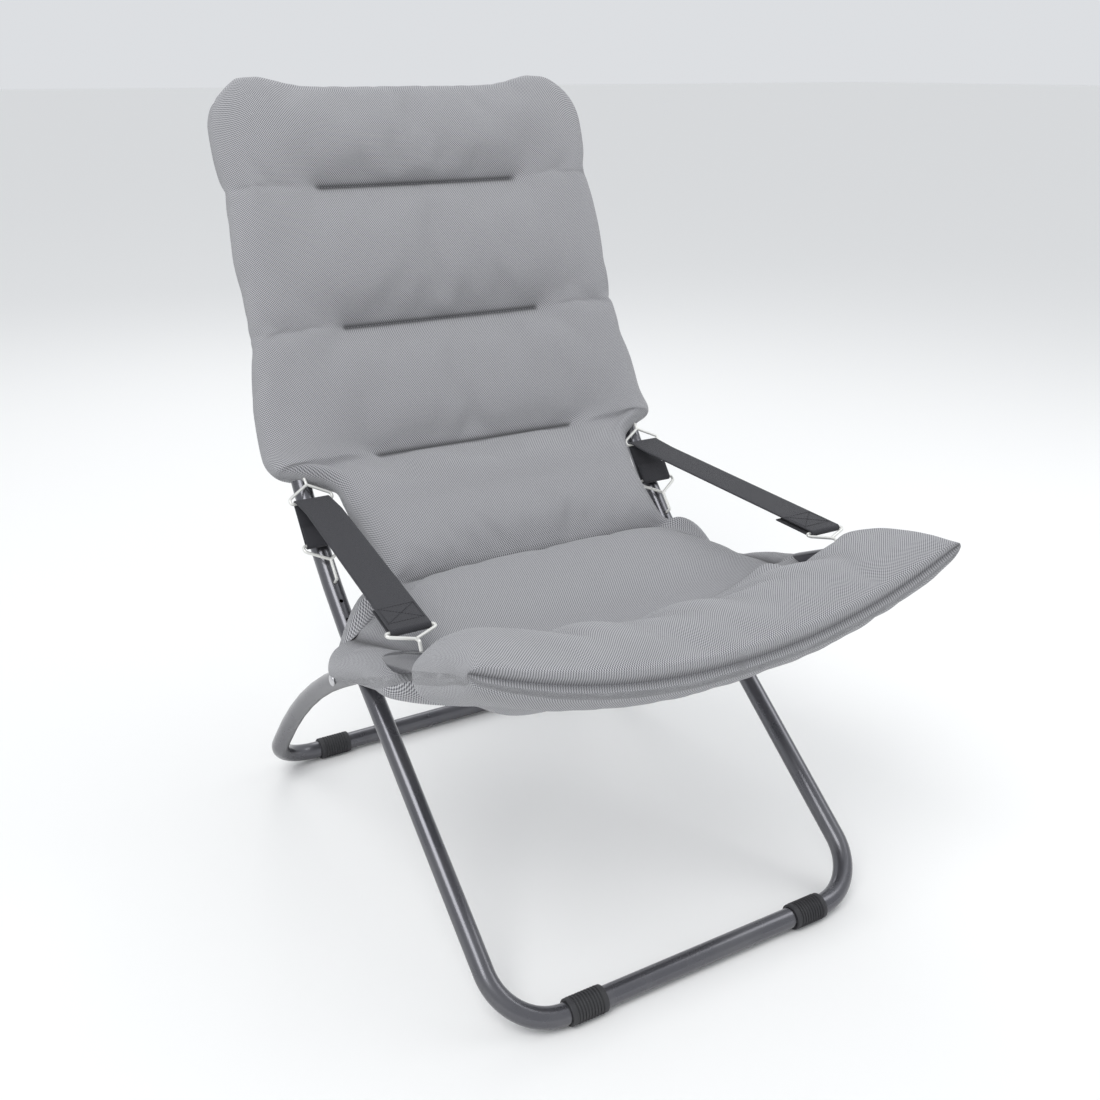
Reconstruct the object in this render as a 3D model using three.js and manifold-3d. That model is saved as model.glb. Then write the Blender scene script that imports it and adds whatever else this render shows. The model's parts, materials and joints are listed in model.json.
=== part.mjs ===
// Folding padded deck chair: two crossed tube frames, a sewn padded cover and webbing armrests.
// Millimetres, +Z up. The chair faces -Y, X runs across it, and the pieces named "left" are at
// -X. The origin is on the ground, under the middle of the chair.
import * as THREE from 'three';
import { mergeVertices } from 'three/addons/utils/BufferGeometryUtils.js';
import Module from 'manifold-3d';

const wasm = await Module();
wasm.setup();

// ---- driving dimensions ----------------------------------------------------------------
const TUBE_RADIUS = 12.5;
const TUBE_WALL = 1.2;
const TUBE_SIDES = 10;
const BACK_HALF_WIDTH = 262; // tube axis of the back and front leg frame
const SEAT_HALF_WIDTH = 292; // tube axis of the seat and rear leg frame, which is outside
const GROUND_BAR_HEIGHT = 14.5; // axis of both ground bars
const PIVOT_BACK = 365; // from the front ground bar back to the pivot
const PIVOT_HEIGHT = 297;
const BACK_ANGLE = degrees(68.85); // upper back, above the ground
const BACK_BEND = 922; // radius of the long bend that starts at the pivot
const BACK_LENGTH = 782; // along the tube, from the pivot to the top bar
const RAIL_ANGLE = degrees(29.5); // seat rail at the pivot, rising to the front
const RAIL_FRONT_ANGLE = degrees(17);
const RAIL_STRAIGHT = 150; // from the pivot to the start of the rail's bend
const RAIL_BEND = 900;
const REAR_LEG_ANGLE = degrees(50.5);
const REAR_LEG_BEND = 900;
const SEAT_FRONT = -15; // y of the front corners of the seat, from the front ground bar
const SEAT_BOW_DEPTH = 112; // corner to the meeting point of the two sloping halves
const SEAT_BOW_TANGENT = 208;
const CORNER_BEND = 72;
const SEAT_CORNER_BEND = 58;
const MIDDLE_Y = 375.1; // front ground bar to the middle of the chair's depth

const SPLICE_FROM_PIVOT = 38; // where the two tubes of a frame meet
const SPIGOT_LENGTH = 46;
const SPIGOT_RADIUS = TUBE_RADIUS - TUBE_WALL - 0.6;
const FIT = 0.4; // clearance between touching pieces
const BEND_TOLERANCE = 0.5; // how far a bend's straight steps may stray from the true arc
const SHORTEST_STEP = 1;
const SEARCH_STEP = 0.5;
const SAME_POINT = 1e-4;

const FOOT_LENGTH = 48;
const FOOT_RADIUS = 15.8;
const FRONT_FOOT_X = 164;
const REAR_FOOT_X = 194;
const FOOT_CHAMFER = { side: 1, end: 2 };
const FOOT_SIDES = 16;

const WIRE_RADIUS = 2;
const WIRE_SIDES = 6;
const WIRE_BENDS = { corner: 3, shoulder: 5, neck: 2.5 };
const RING_HALF_WIDTH = 28.5; // half the wire bar that carries the strap
const SHOULDER_SHARE = 0.3; // how far from the bar to the neck the legs run straight
const ELBOW_DROP = 2; // the stem turns in this far under the neck
const HOLE_RADIUS = WIRE_RADIUS + FIT + 0.2;
const HOLE_FIRST = 124; // top adjuster hole, along the back tube from the pivot
const HOLE_SPACING = 27;
const HOLE_COUNT = 3;
const HOLE_REACH = { from: 4, to: 30 }; // out from the tube's axis, so one wall is drilled

const STRAP_WIDTH = 48;
const STRAP_THICKNESS = 2;
const STRAP_FRONT_TAB = 58; // doubled end under the front ring
const STRAP_REAR_TAB = 24; // doubled end at the adjuster hook
const STRAP_PLAY = 0.1;

const RIVET_RADIUS = 4;
const RIVET_HEAD = { radius: 7.5, crownRadius: 5, crownHeight: 2.4, height: 3 };
const PIN_SIDES = 12;
const WASHER_RADIUS = 11;

const BACK_CUSHION_START = 284; // along the back tube, from the pivot
const BACK_CUSHION_END = 812;
const BACK_LOW_HALF_WIDTH = 300;
const BACK_TOP_HALF_WIDTH = 287;
const SEAT_REAR_HALF_WIDTH = 309;
const SEAT_FRONT_HALF_WIDTH = 323;
const BACK_THICKNESS = 50;
const HIP_THICKNESS = 44;
const SEAT_THICKNESS = 58;
const HIP_EDGE_Y = 262; // where the hip section of the cover meets the seat section
const SEAM_GAP = 2.5; // half the gap there
const HIP_LIFT = 6; // the cover's middle surface over the rails' axis, by the pivots
const SEAT_LIFT = 10; // and at the front
const BACK_OUT = 3; // and on the back tubes, towards the sitter
const EDGE_SHARE = 0.6; // thickness of a section at its side edges, as a share of the middle
const EDGE_POWER = 6;
const BACK_END_SHARE = 0.72;
const SEAT_END_SHARE = 0.6;
const HIP_END_SHARE = 0.86;
const SIDE_POWERS = { rear: 4, front: 2 }; // how late the cover turns towards the rails
const CROWN_POWERS = { back: 8, seat: 9, hip: 6 };
const BACK_CORNER_DROP = 30; // how far the top corners are rounded down
const FLARE_FROM = 0.78; // share of the seat section where the sides begin to widen
const CREASE_Y = 398; // the hip section is narrow behind this place
const OVER_RAILS_Y = 345; // and reaches over the rails in front of this one
const WAIST_AT_CREASE = 216;
const WAIST_AT_SEAM = 228;
const HIP_START = { first: 6, second: 22 }; // under the lowest back seam, along the tube
const HIP_SLOPE = [[475, 450], [CREASE_Y, 405], [OVER_RAILS_Y, 388]]; // [y, height]
const EDGE_HEIGHT = 374; // middle surface where the hip and seat sections meet
const SEAT_SLOPE = [[190, 360], [110, 375], [35, 403]];
const SEAT_HEM = { past: 19, height: 402 };
const NOTCH = { x: 308, y: 147, height: 440, size: [120, 62, 160] }; // by the front rings
const SLEEVE_PAST_PIVOT = 40; // along the seat frame, at both ends of the channel
const LEG_CLEARANCE = 1.5;
const LEG_CLEARANCE_REACH = { below: 60, above: 160 };
const PIVOT_CLEARANCE = 2;
const SLOPE_STEP = 0.01; // for measuring a sheet's slope
const LINE_OVERRUN = 80; // side-view lines go on this far past the tubes' ends

// ---- finishes --------------------------------------------------------------------------
const finishes = {
  paint: { color: 0x8b8b94, roughness: 0.35, metalness: 0.7 },
  bareSteel: { color: 0xb8b8bc, roughness: 0.4, metalness: 0.9 },
  wire: { color: 0xdcdcd8, roughness: 0.3, metalness: 0.6 },
  textile: { color: 0xa5a5aa, roughness: 0.95, metalness: 0 },
  webbing: { color: 0x4b4b52, roughness: 0.9, metalness: 0 },
  rubber: { color: 0x323237, roughness: 0.8, metalness: 0 },
};

const chair = new THREE.Group();
const assembly = new THREE.Group();
assembly.position.y = -MIDDLE_Y;
chair.add(assembly);

function addPiece(name, geometry, finish) {
  const mesh = new THREE.Mesh(geometry, new THREE.MeshStandardMaterial(finishes[finish]));
  mesh.name = name;
  assembly.add(mesh);
  return mesh;
}

function degrees(angle) {
  return THREE.MathUtils.degToRad(angle);
}

function clamp01(t) {
  return THREE.MathUtils.clamp(t, 0, 1);
}

function eachSide(build) {
  build(-1, 'left');
  build(1, 'right');
}

// ---- solids: cutting and joining ---------------------------------------------------------
function toSolid(geometry) {
  const bare = geometry.clone();
  bare.deleteAttribute('normal');
  bare.deleteAttribute('uv');
  const merged = mergeVertices(bare, SAME_POINT);
  const mesh = new wasm.Mesh({
    numProp: 3,
    vertProperties: new Float32Array(merged.attributes.position.array),
    triVerts: new Uint32Array(merged.index.array),
  });
  return new wasm.Manifold(mesh);
}

function toGeometry(solid) {
  const mesh = solid.getMesh();
  const geometry = new THREE.BufferGeometry();
  geometry.setAttribute('position', new THREE.BufferAttribute(mesh.vertProperties, 3));
  geometry.setIndex(new THREE.BufferAttribute(mesh.triVerts, 1));
  return geometry;
}

function subtract(geometry, cutters) {
  let solid = toSolid(geometry);
  for (const cutter of cutters) {
    solid = solid.subtract(toSolid(cutter));
  }
  return toGeometry(solid);
}

function join(first, second) {
  return toGeometry(toSolid(first).add(toSolid(second)));
}

// ---- routes: straight runs joined by round bends -------------------------------------------
// A route is a list of corners { at, bend }, where bend is the radius that rounds the corner.
class Route {
  constructor(corners, { closed = false } = {}) {
    this.closed = closed;
    this.pieces = [];
    this.length = 0;
    const count = corners.length;
    const bends = corners.map((corner, i) => {
      const isEnd = !closed && (i === 0 || i === count - 1);
      return isEnd ? null : this.roundCorner(corners, i);
    });
    const lastRun = closed ? count : count - 1;
    for (let i = 0; i < lastRun; i++) {
      const next = (i + 1) % count;
      const from = bends[i] ? bends[i].end : corners[i].at;
      const to = bends[next] ? bends[next].start : corners[next].at;
      this.addRun(from, to);
      if (bends[next]) {
        this.addBend(bends[next]);
      }
    }
  }

  roundCorner(corners, i) {
    const count = corners.length;
    const here = corners[i].at;
    const arriving = here.clone().sub(corners[(i + count - 1) % count].at).normalize();
    const leaving = corners[(i + 1) % count].at.clone().sub(here).normalize();
    const turn = arriving.angleTo(leaving);
    const tangent = corners[i].bend * Math.tan(turn / 2);
    const start = here.clone().addScaledVector(arriving, -tangent);
    const end = here.clone().addScaledVector(leaving, tangent);
    const inward = leaving.clone().sub(arriving).normalize();
    const centre = here.clone().addScaledVector(inward, corners[i].bend / Math.cos(turn / 2));
    const axis = arriving.clone().cross(leaving).normalize();
    return { start, end, centre, axis, turn, radius: corners[i].bend };
  }

  addRun(from, to) {
    const length = from.distanceTo(to);
    const direction = to.clone().sub(from).normalize();
    this.pieces.push({ begin: this.length, length, steps: 1, from, direction });
    this.length += length;
  }

  addBend(bend) {
    const length = bend.radius * bend.turn;
    const step = 2 * Math.acos(1 - Math.min(1, BEND_TOLERANCE / bend.radius));
    const steps = Math.ceil(bend.turn / step);
    this.pieces.push({ begin: this.length, length, steps, ...bend });
    this.length += length;
  }

  pieceAt(distance) {
    const s = this.wrap(distance);
    return this.pieces.findLast((piece) => piece.begin <= s + 1e-9) ?? this.pieces[0];
  }

  wrap(distance) {
    return this.closed ? THREE.MathUtils.euclideanModulo(distance, this.length) : distance;
  }

  at(distance) {
    const piece = this.pieceAt(distance);
    const along = this.wrap(distance) - piece.begin;
    if (piece.direction) {
      return piece.from.clone().addScaledVector(piece.direction, along);
    }
    const arm = piece.start.clone().sub(piece.centre);
    return arm.applyAxisAngle(piece.axis, along / piece.radius).add(piece.centre);
  }

  tangent(distance) {
    const piece = this.pieceAt(distance);
    if (piece.direction) {
      return piece.direction.clone();
    }
    const arm = this.at(distance).sub(piece.centre).normalize();
    return piece.axis.clone().cross(arm).normalize();
  }

  // distances where a sweep from one place to another needs a section
  stations(from, to) {
    const marks = [from];
    const laps = this.closed ? [0, this.length] : [0];
    for (const lap of laps) {
      for (const piece of this.pieces) {
        for (let i = 0; i < piece.steps; i++) {
          marks.push(lap + piece.begin + (piece.length * i) / piece.steps);
        }
      }
    }
    const inside = marks.filter((s) => s > from + SHORTEST_STEP && s < to - SHORTEST_STEP);
    return [from, ...inside.sort((a, b) => a - b), to];
  }

  nearest(point) {
    let best = 0;
    let bestGap = Infinity;
    for (let s = 0; s < this.length; s += SEARCH_STEP) {
      const gap = this.at(s).distanceTo(point);
      if (gap < bestGap) {
        best = s;
        bestGap = gap;
      }
    }
    return best;
  }
}

// A part of a route as a three.js curve, with one step per station.
class Stretch extends THREE.Curve {
  constructor(route, from = 0, to = route.length) {
    super();
    this.route = route;
    this.marks = route.stations(from, to);
  }

  get steps() {
    return this.marks.length - 1;
  }

  distance(t) {
    const place = THREE.MathUtils.clamp(t, 0, 1) * this.steps;
    const i = Math.min(Math.floor(place), this.steps - 1);
    return THREE.MathUtils.lerp(this.marks[i], this.marks[i + 1], place - i);
  }

  getUtoTmapping(u) {
    return u;
  }

  getPoint(t, target = new THREE.Vector3()) {
    return target.copy(this.route.at(this.distance(t)));
  }

  getTangent(t, target = new THREE.Vector3()) {
    return target.copy(this.route.tangent(this.distance(t)));
  }
}

function circle(radius, sides) {
  const points = [];
  for (let i = 0; i < sides; i++) {
    const angle = ((i + 0.5) / sides) * Math.PI * 2;
    points.push(new THREE.Vector2(radius * Math.cos(angle), radius * Math.sin(angle)));
  }
  return points;
}

function sweep(section, curve) {
  return new THREE.ExtrudeGeometry(section, { steps: curve.steps, extrudePath: curve });
}

function rodSection(radius, sides) {
  return new THREE.Shape(circle(radius, sides));
}

function tubeSection(radius, wall, sides) {
  const section = new THREE.Shape(circle(radius, sides));
  section.holes.push(new THREE.Path(circle(radius - wall, sides).reverse()));
  return section;
}

function rodBetween(from, to, radius, sides = 8) {
  const route = new Route([{ at: from }, { at: to }]);
  return sweep(rodSection(radius, sides), new Stretch(route));
}

// ---- frame centre lines ----------------------------------------------------------------
const pivotAt = (x) => new THREE.Vector3(x, PIVOT_BACK, PIVOT_HEIGHT);
const legAngle = Math.atan2(PIVOT_HEIGHT - GROUND_BAR_HEIGHT, PIVOT_BACK);

function ahead(point, angle, distance) {
  const rise = new THREE.Vector3(0, Math.cos(angle), Math.sin(angle));
  return point.clone().addScaledVector(rise, distance);
}

function backFrameSide(side) {
  const x = side * BACK_HALF_WIDTH;
  const turn = BACK_ANGLE - legAngle;
  const tangent = BACK_BEND * Math.tan(turn / 2);
  const knee = ahead(pivotAt(x), legAngle, tangent);
  const straight = BACK_LENGTH - BACK_BEND * turn;
  const top = ahead(knee, BACK_ANGLE, tangent + straight);
  return {
    foot: { at: new THREE.Vector3(x, 0, GROUND_BAR_HEIGHT), bend: CORNER_BEND },
    knee: { at: knee, bend: BACK_BEND },
    top: { at: top, bend: CORNER_BEND },
  };
}

function seatFrameSide(side) {
  const x = side * SEAT_HALF_WIDTH;
  const rearTangent = REAR_LEG_BEND * Math.tan((REAR_LEG_ANGLE - RAIL_ANGLE) / 2);
  const rearKnee = ahead(pivotAt(x), -RAIL_ANGLE, rearTangent);
  const drop = (rearKnee.z - GROUND_BAR_HEIGHT) / Math.sin(REAR_LEG_ANGLE);
  const rearFoot = ahead(rearKnee, -REAR_LEG_ANGLE, drop);
  const railTangent = RAIL_BEND * Math.tan((RAIL_ANGLE - RAIL_FRONT_ANGLE) / 2);
  const railKnee = ahead(pivotAt(x), Math.PI - RAIL_ANGLE, RAIL_STRAIGHT + railTangent);
  const railEnd = (railKnee.y - SEAT_FRONT) / Math.cos(RAIL_FRONT_ANGLE);
  const front = ahead(railKnee, Math.PI - RAIL_FRONT_ANGLE, railEnd);
  return {
    foot: { at: rearFoot, bend: CORNER_BEND },
    rearKnee: { at: rearKnee, bend: REAR_LEG_BEND },
    railKnee: { at: railKnee, bend: RAIL_BEND },
    front: { at: front, bend: SEAT_CORNER_BEND },
  };
}

const backLeft = backFrameSide(-1);
const backRight = backFrameSide(1);
const backRoute = new Route(
  [backLeft.foot, backLeft.knee, backLeft.top, backRight.top, backRight.knee, backRight.foot],
  { closed: true },
);

const seatLeft = seatFrameSide(-1);
const seatRight = seatFrameSide(1);
const bowSlope = Math.atan(SEAT_BOW_DEPTH / SEAT_HALF_WIDTH);
const bowMiddle = {
  at: new THREE.Vector3(0, SEAT_FRONT + 8, seatLeft.front.at.z - SEAT_BOW_DEPTH),
  bend: SEAT_BOW_TANGENT / Math.tan(bowSlope),
};
const seatRoute = new Route(
  [
    seatLeft.foot, seatLeft.rearKnee, seatLeft.railKnee, seatLeft.front, bowMiddle,
    seatRight.front, seatRight.railKnee, seatRight.rearKnee, seatRight.foot,
  ],
  { closed: true },
);

const backPivot = backRoute.nearest(pivotAt(-BACK_HALF_WIDTH));
const backPivotRight = backRoute.nearest(pivotAt(BACK_HALF_WIDTH));
const seatPivot = seatRoute.nearest(pivotAt(-SEAT_HALF_WIDTH));
const seatPivotRight = seatRoute.nearest(pivotAt(SEAT_HALF_WIDTH));

// Side views of the back tube and the seat rail, from the pivot on past their far ends.
const backLine = new Route([
  { at: pivotAt(0) },
  { at: backRight.knee.at.clone().setX(0), bend: BACK_BEND },
  { at: ahead(backRight.top.at, BACK_ANGLE, LINE_OVERRUN).setX(0) },
]);
const railLine = new Route([
  { at: pivotAt(0) },
  { at: seatRight.railKnee.at.clone().setX(0), bend: RAIL_BEND },
  { at: ahead(seatRight.front.at, Math.PI - RAIL_FRONT_ANGLE, LINE_OVERRUN).setX(0) },
]);

// A point beside a tube: along it from the pivot, out from its axis towards the sitter, and
// across the chair to one side.
function beside(line, side, along, out, x) {
  const tangent = line.tangent(along);
  const normal = new THREE.Vector3(0, -tangent.z, tangent.y);
  if (normal.z < 0) {
    normal.negate();
  }
  return line.at(along).addScaledVector(normal, out).setX(side * x);
}

const onBack = (side, along, out, x = BACK_HALF_WIDTH) => beside(backLine, side, along, out, x);
const onRail = (side, along, out, x = SEAT_HALF_WIDTH) => beside(railLine, side, along, out, x);

// ---- wire fittings: a bar that carries the strap, two legs and one stem ---------------------
// Each is laid out beside its tube: [along, out] of the bar and the neck, the place along the
// tube where the stem turns in, and how near the tube's axis the stem's tip comes.
const ringPlan = { bar: [253, 36], neck: [264, 25], stem: 271, tip: 9 };
const guidePlan = { bar: [237, 22.5], neck: [262, 19.5], stem: 272, tip: 9 };
const hookPlan = { bar: [178, 20], neck: [152, 25], stem: HOLE_FIRST, tip: TUBE_RADIUS + FIT };

function wireFitting(place, side, plan, x) {
  const barMiddle = place(side, ...plan.bar, x);
  const neck = { at: place(side, ...plan.neck, x), bend: WIRE_BENDS.neck };
  const elbowOut = plan.neck[1] - ELBOW_DROP;
  const elbow = { at: place(side, plan.stem, elbowOut, x), bend: WIRE_BENDS.neck };
  const tip = { at: place(side, plan.stem, plan.tip, x) };
  const halves = [-1, 1].map((hand) => {
    const corner = barMiddle.clone();
    corner.x += hand * RING_HALF_WIDTH;
    const shoulder = barMiddle.clone().lerp(neck.at, SHOULDER_SHARE);
    shoulder.x += hand * RING_HALF_WIDTH;
    const leg = [
      { at: barMiddle },
      { at: corner, bend: WIRE_BENDS.corner },
      { at: shoulder, bend: WIRE_BENDS.shoulder },
    ];
    const corners = hand < 0 ? [...leg, neck, elbow, tip] : [...leg, neck, elbow];
    return sweep(rodSection(WIRE_RADIUS, WIRE_SIDES), new Stretch(new Route(corners)));
  });
  return join(halves[0], halves[1]);
}

// ---- tubes -------------------------------------------------------------------------------
const hollow = tubeSection(TUBE_RADIUS, TUBE_WALL, TUBE_SIDES);
const halfGap = FIT / 2;

function acrossPivot(radius) {
  const ends = [-1, 1].map((end) => pivotAt(end * (SEAT_HALF_WIDTH + 4 * TUBE_RADIUS)));
  return rodBetween(ends[0], ends[1], radius, PIN_SIDES);
}

function stemHole(place, side, along, x) {
  const inner = place(side, along, HOLE_REACH.from, x);
  return rodBetween(inner, place(side, along, HOLE_REACH.to, x), HOLE_RADIUS);
}

const backStart = backPivot + SPLICE_FROM_PIVOT;
const backEnd = backPivotRight - SPLICE_FROM_PIVOT;
const seatStart = seatPivot + SPLICE_FROM_PIVOT;
const seatEnd = seatPivotRight - SPLICE_FROM_PIVOT;

const backHoles = [];
const railHoles = [];
eachSide((side) => {
  for (let i = 0; i < HOLE_COUNT; i++) {
    backHoles.push(stemHole(onBack, side, HOLE_FIRST - i * HOLE_SPACING));
  }
  backHoles.push(stemHole(onBack, side, guidePlan.stem));
  railHoles.push(stemHole(onRail, side, ringPlan.stem));
});

const backSweep = sweep(hollow, new Stretch(backRoute, backStart + halfGap, backEnd - halfGap));
addPiece('back_tube', subtract(backSweep, backHoles), 'paint');

const legSweep = sweep(
  hollow,
  new Stretch(backRoute, backEnd + halfGap, backRoute.length + backStart - halfGap),
);
addPiece('front_leg_tube', subtract(legSweep, [acrossPivot(RIVET_RADIUS + FIT)]), 'paint');

const railSweep = sweep(hollow, new Stretch(seatRoute, seatStart + halfGap, seatEnd - halfGap));
addPiece('seat_tube', subtract(railSweep, railHoles), 'paint');

const rearSweep = sweep(
  hollow,
  new Stretch(seatRoute, seatEnd + halfGap, seatRoute.length + seatStart - halfGap),
);
addPiece('rear_leg_tube', subtract(rearSweep, [acrossPivot(RIVET_RADIUS + FIT)]), 'paint');

const spigot = tubeSection(SPIGOT_RADIUS, TUBE_WALL, TUBE_SIDES);
function addSpigot(name, route, splice) {
  const reach = SPIGOT_LENGTH / 2;
  addPiece(name, sweep(spigot, new Stretch(route, splice - reach, splice + reach)), 'bareSteel');
}
addSpigot('back_spigot_left', backRoute, backStart);
addSpigot('back_spigot_right', backRoute, backEnd);
addSpigot('seat_spigot_left', seatRoute, seatStart);
addSpigot('seat_spigot_right', seatRoute, seatEnd);

// ---- turned pieces on an X axis --------------------------------------------------------------
function turned(profile, segments) {
  const points = profile.map(([radius, x]) => new THREE.Vector2(radius, x));
  return new THREE.LatheGeometry(points, segments).rotateZ(-Math.PI / 2);
}

// The rivet: a shank through both tubes with a domed head at each end.
function rivetGeometry(side) {
  const inner = BACK_HALF_WIDTH - TUBE_RADIUS - FIT;
  const outer = SEAT_HALF_WIDTH + TUBE_RADIUS + FIT;
  const { radius, crownRadius, crownHeight, height } = RIVET_HEAD;
  const profile = [
    [0, inner - height], [crownRadius, inner - crownHeight], [radius, inner],
    [RIVET_RADIUS, inner], [RIVET_RADIUS, outer],
    [radius, outer], [crownRadius, outer + crownHeight], [0, outer + height],
  ];
  const geometry = turned(profile, PIN_SIDES);
  if (side < 0) {
    geometry.rotateZ(Math.PI);
  }
  return geometry.translate(0, PIVOT_BACK, PIVOT_HEIGHT);
}

function washerGeometry(side) {
  const inner = BACK_HALF_WIDTH + TUBE_RADIUS + FIT;
  const outer = SEAT_HALF_WIDTH - TUBE_RADIUS - FIT;
  const bore = RIVET_RADIUS + FIT;
  const profile = [
    [bore, inner], [WASHER_RADIUS, inner], [WASHER_RADIUS, outer], [bore, outer], [bore, inner],
  ];
  const geometry = turned(profile, PIN_SIDES);
  if (side < 0) {
    geometry.rotateZ(Math.PI);
  }
  return geometry.translate(0, PIVOT_BACK, PIVOT_HEIGHT);
}

// The foot sleeve: a moulded collar on a ground bar, cut flat where it stands on the ground.
function footGeometry(x, y) {
  const bore = TUBE_RADIUS + FIT;
  const end = FOOT_LENGTH / 2;
  const small = FOOT_RADIUS - FOOT_CHAMFER.side;
  const shoulder = end - FOOT_CHAMFER.end;
  const profile = [
    [bore, -end], [small, -end], [FOOT_RADIUS, -shoulder], [FOOT_RADIUS, shoulder],
    [small, end], [bore, end], [bore, -end],
  ];
  const sleeve = turned(profile, FOOT_SIDES).translate(x, y, GROUND_BAR_HEIGHT);
  const ground = new THREE.BoxGeometry(FOOT_LENGTH * 2, FOOT_RADIUS * 4, FOOT_RADIUS * 2);
  ground.translate(x, y, -FOOT_RADIUS);
  return subtract(sleeve, [ground]);
}

// ---- straps --------------------------------------------------------------------------------
// The strap starts as a doubled tab under the front ring's bar, runs back to the guide, turns
// down over its bar and ends doubled round the adjuster hook's bar. It is laid out in the side
// view, then slanted from the back tube's plane out to the rail's plane.
function strapGeometry(side) {
  const wrap = WIRE_RADIUS + FIT + STRAP_THICKNESS / 2;
  const bend = wrap - STRAP_PLAY;
  const front = onRail(side, ...ringPlan.bar, 0);
  const guide = onBack(side, ...guidePlan.bar, 0);
  const hook = onBack(side, ...hookPlan.bar, 0);
  const run = guide.clone().sub(front).normalize();
  const lift = new THREE.Vector3(0, -run.z, run.y);
  const drop = hook.clone().sub(guide).normalize();
  const away = new THREE.Vector3(0, drop.z, -drop.y);
  const fold = wrap / (1 - lift.dot(away)); // where the run and the tail would meet unrounded
  const shift = (point, along, alongBy, across, acrossBy) =>
    point.clone().addScaledVector(along, alongBy).addScaledVector(across, acrossBy);
  const corners = [
    { at: shift(front, run, STRAP_FRONT_TAB, lift, -wrap) },
    { at: shift(front, run, -wrap, lift, -wrap), bend },
    { at: shift(front, run, -wrap, lift, wrap), bend },
    { at: shift(guide, lift, fold, away, -fold), bend },
    { at: shift(hook, drop, wrap, away, -wrap), bend },
    { at: shift(hook, drop, wrap, away, wrap), bend },
    { at: shift(hook, drop, -STRAP_REAR_TAB, away, wrap) },
  ];
  const [w, t] = [STRAP_WIDTH / 2, STRAP_THICKNESS / 2];
  const section = new THREE.Shape();
  section.moveTo(-w, -t).lineTo(w, -t).lineTo(w, t).lineTo(-w, t);
  const geometry = sweep(section, new Stretch(new Route(corners)));
  const position = geometry.attributes.position;
  const slantFrom = hook.y - 2 * wrap; // the tail behind this place hangs straight down
  for (let i = 0; i < position.count; i++) {
    const forward = (slantFrom - position.getY(i)) / (slantFrom - front.y);
    const out = THREE.MathUtils.lerp(BACK_HALF_WIDTH, SEAT_HALF_WIDTH, clamp01(forward));
    position.setX(i, position.getX(i) + side * out);
  }
  return geometry;
}

// ---- the padded cover ------------------------------------------------------------------------
// A section of the cover is a thick sheet. Its middle surface is given by place(u, v) with u
// along the cover and v across it from -1 to 1, and thickness(u, v) is measured across the sheet.
function paddedSheet(rows, columns, place, thickness) {
  const block = new THREE.BoxGeometry(2, 1, 1, columns, rows, 1);
  const position = block.attributes.position;
  for (let i = 0; i < position.count; i++) {
    const v = position.getX(i);
    const u = position.getY(i) + 0.5;
    const layer = position.getZ(i);
    const along = place(u + SLOPE_STEP, v).sub(place(u - SLOPE_STEP, v));
    const across = place(u, v + SLOPE_STEP).sub(place(u, v - SLOPE_STEP));
    const normal = across.cross(along).normalize();
    const point = place(u, v).addScaledVector(normal, layer * thickness(u, v));
    position.setXYZ(i, point.x, point.y, point.z);
  }
  return block;
}

function crown(v, power) {
  return 1 - Math.pow(Math.min(Math.abs(v), 1), power);
}

const channelSection = rodSection(TUBE_RADIUS + 2 * FIT, TUBE_SIDES);
const backChannel = sweep(channelSection, new Stretch(backRoute, backStart, backEnd));
const seatChannel = sweep(
  channelSection,
  new Stretch(seatRoute, seatPivot - SLEEVE_PAST_PIVOT, seatPivotRight + SLEEVE_PAST_PIVOT),
);

// back section: wraps the back tube from the lowest seam to the top bar
const sheetEdge = (v) => THREE.MathUtils.lerp(EDGE_SHARE, 1, crown(v, EDGE_POWER));
const sheetEnd = (share, t, power) => THREE.MathUtils.lerp(share, 1, crown(t, power));
const backThickness = (u, v) =>
  BACK_THICKNESS * sheetEdge(v) * sheetEnd(BACK_END_SHARE, 2 * u - 1, CROWN_POWERS.back);
function backPlace(u, v) {
  const along = THREE.MathUtils.lerp(BACK_CUSHION_START, BACK_CUSHION_END, u);
  const half = THREE.MathUtils.lerp(BACK_LOW_HALF_WIDTH, BACK_TOP_HALF_WIDTH, clamp01(2 * u));
  const atTop = clamp01(8 * u - 7);
  const corner = BACK_CORNER_DROP * Math.pow(Math.abs(v), CROWN_POWERS.back) * atTop;
  return onBack(1, along - corner, BACK_OUT, v * half);
}
const backSheet = paddedSheet(10, 10, backPlace, backThickness);
addPiece('back_cushion', subtract(backSheet, [backChannel]), 'textile');

// height of the seat rails' axis at a place along Y
const railMarks = [];
for (let s = 0; s <= railLine.length; s += 2) {
  railMarks.push(railLine.at(s));
}
function railHeight(y) {
  const i = Math.max(1, railMarks.findIndex((point) => point.y < y));
  const [before, after] = [railMarks[i - 1], railMarks[i]];
  return THREE.MathUtils.mapLinear(y, before.y, after.y, before.z, after.z);
}

const inSideView = (y, z) => new THREE.Vector3(0, y, z);

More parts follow.
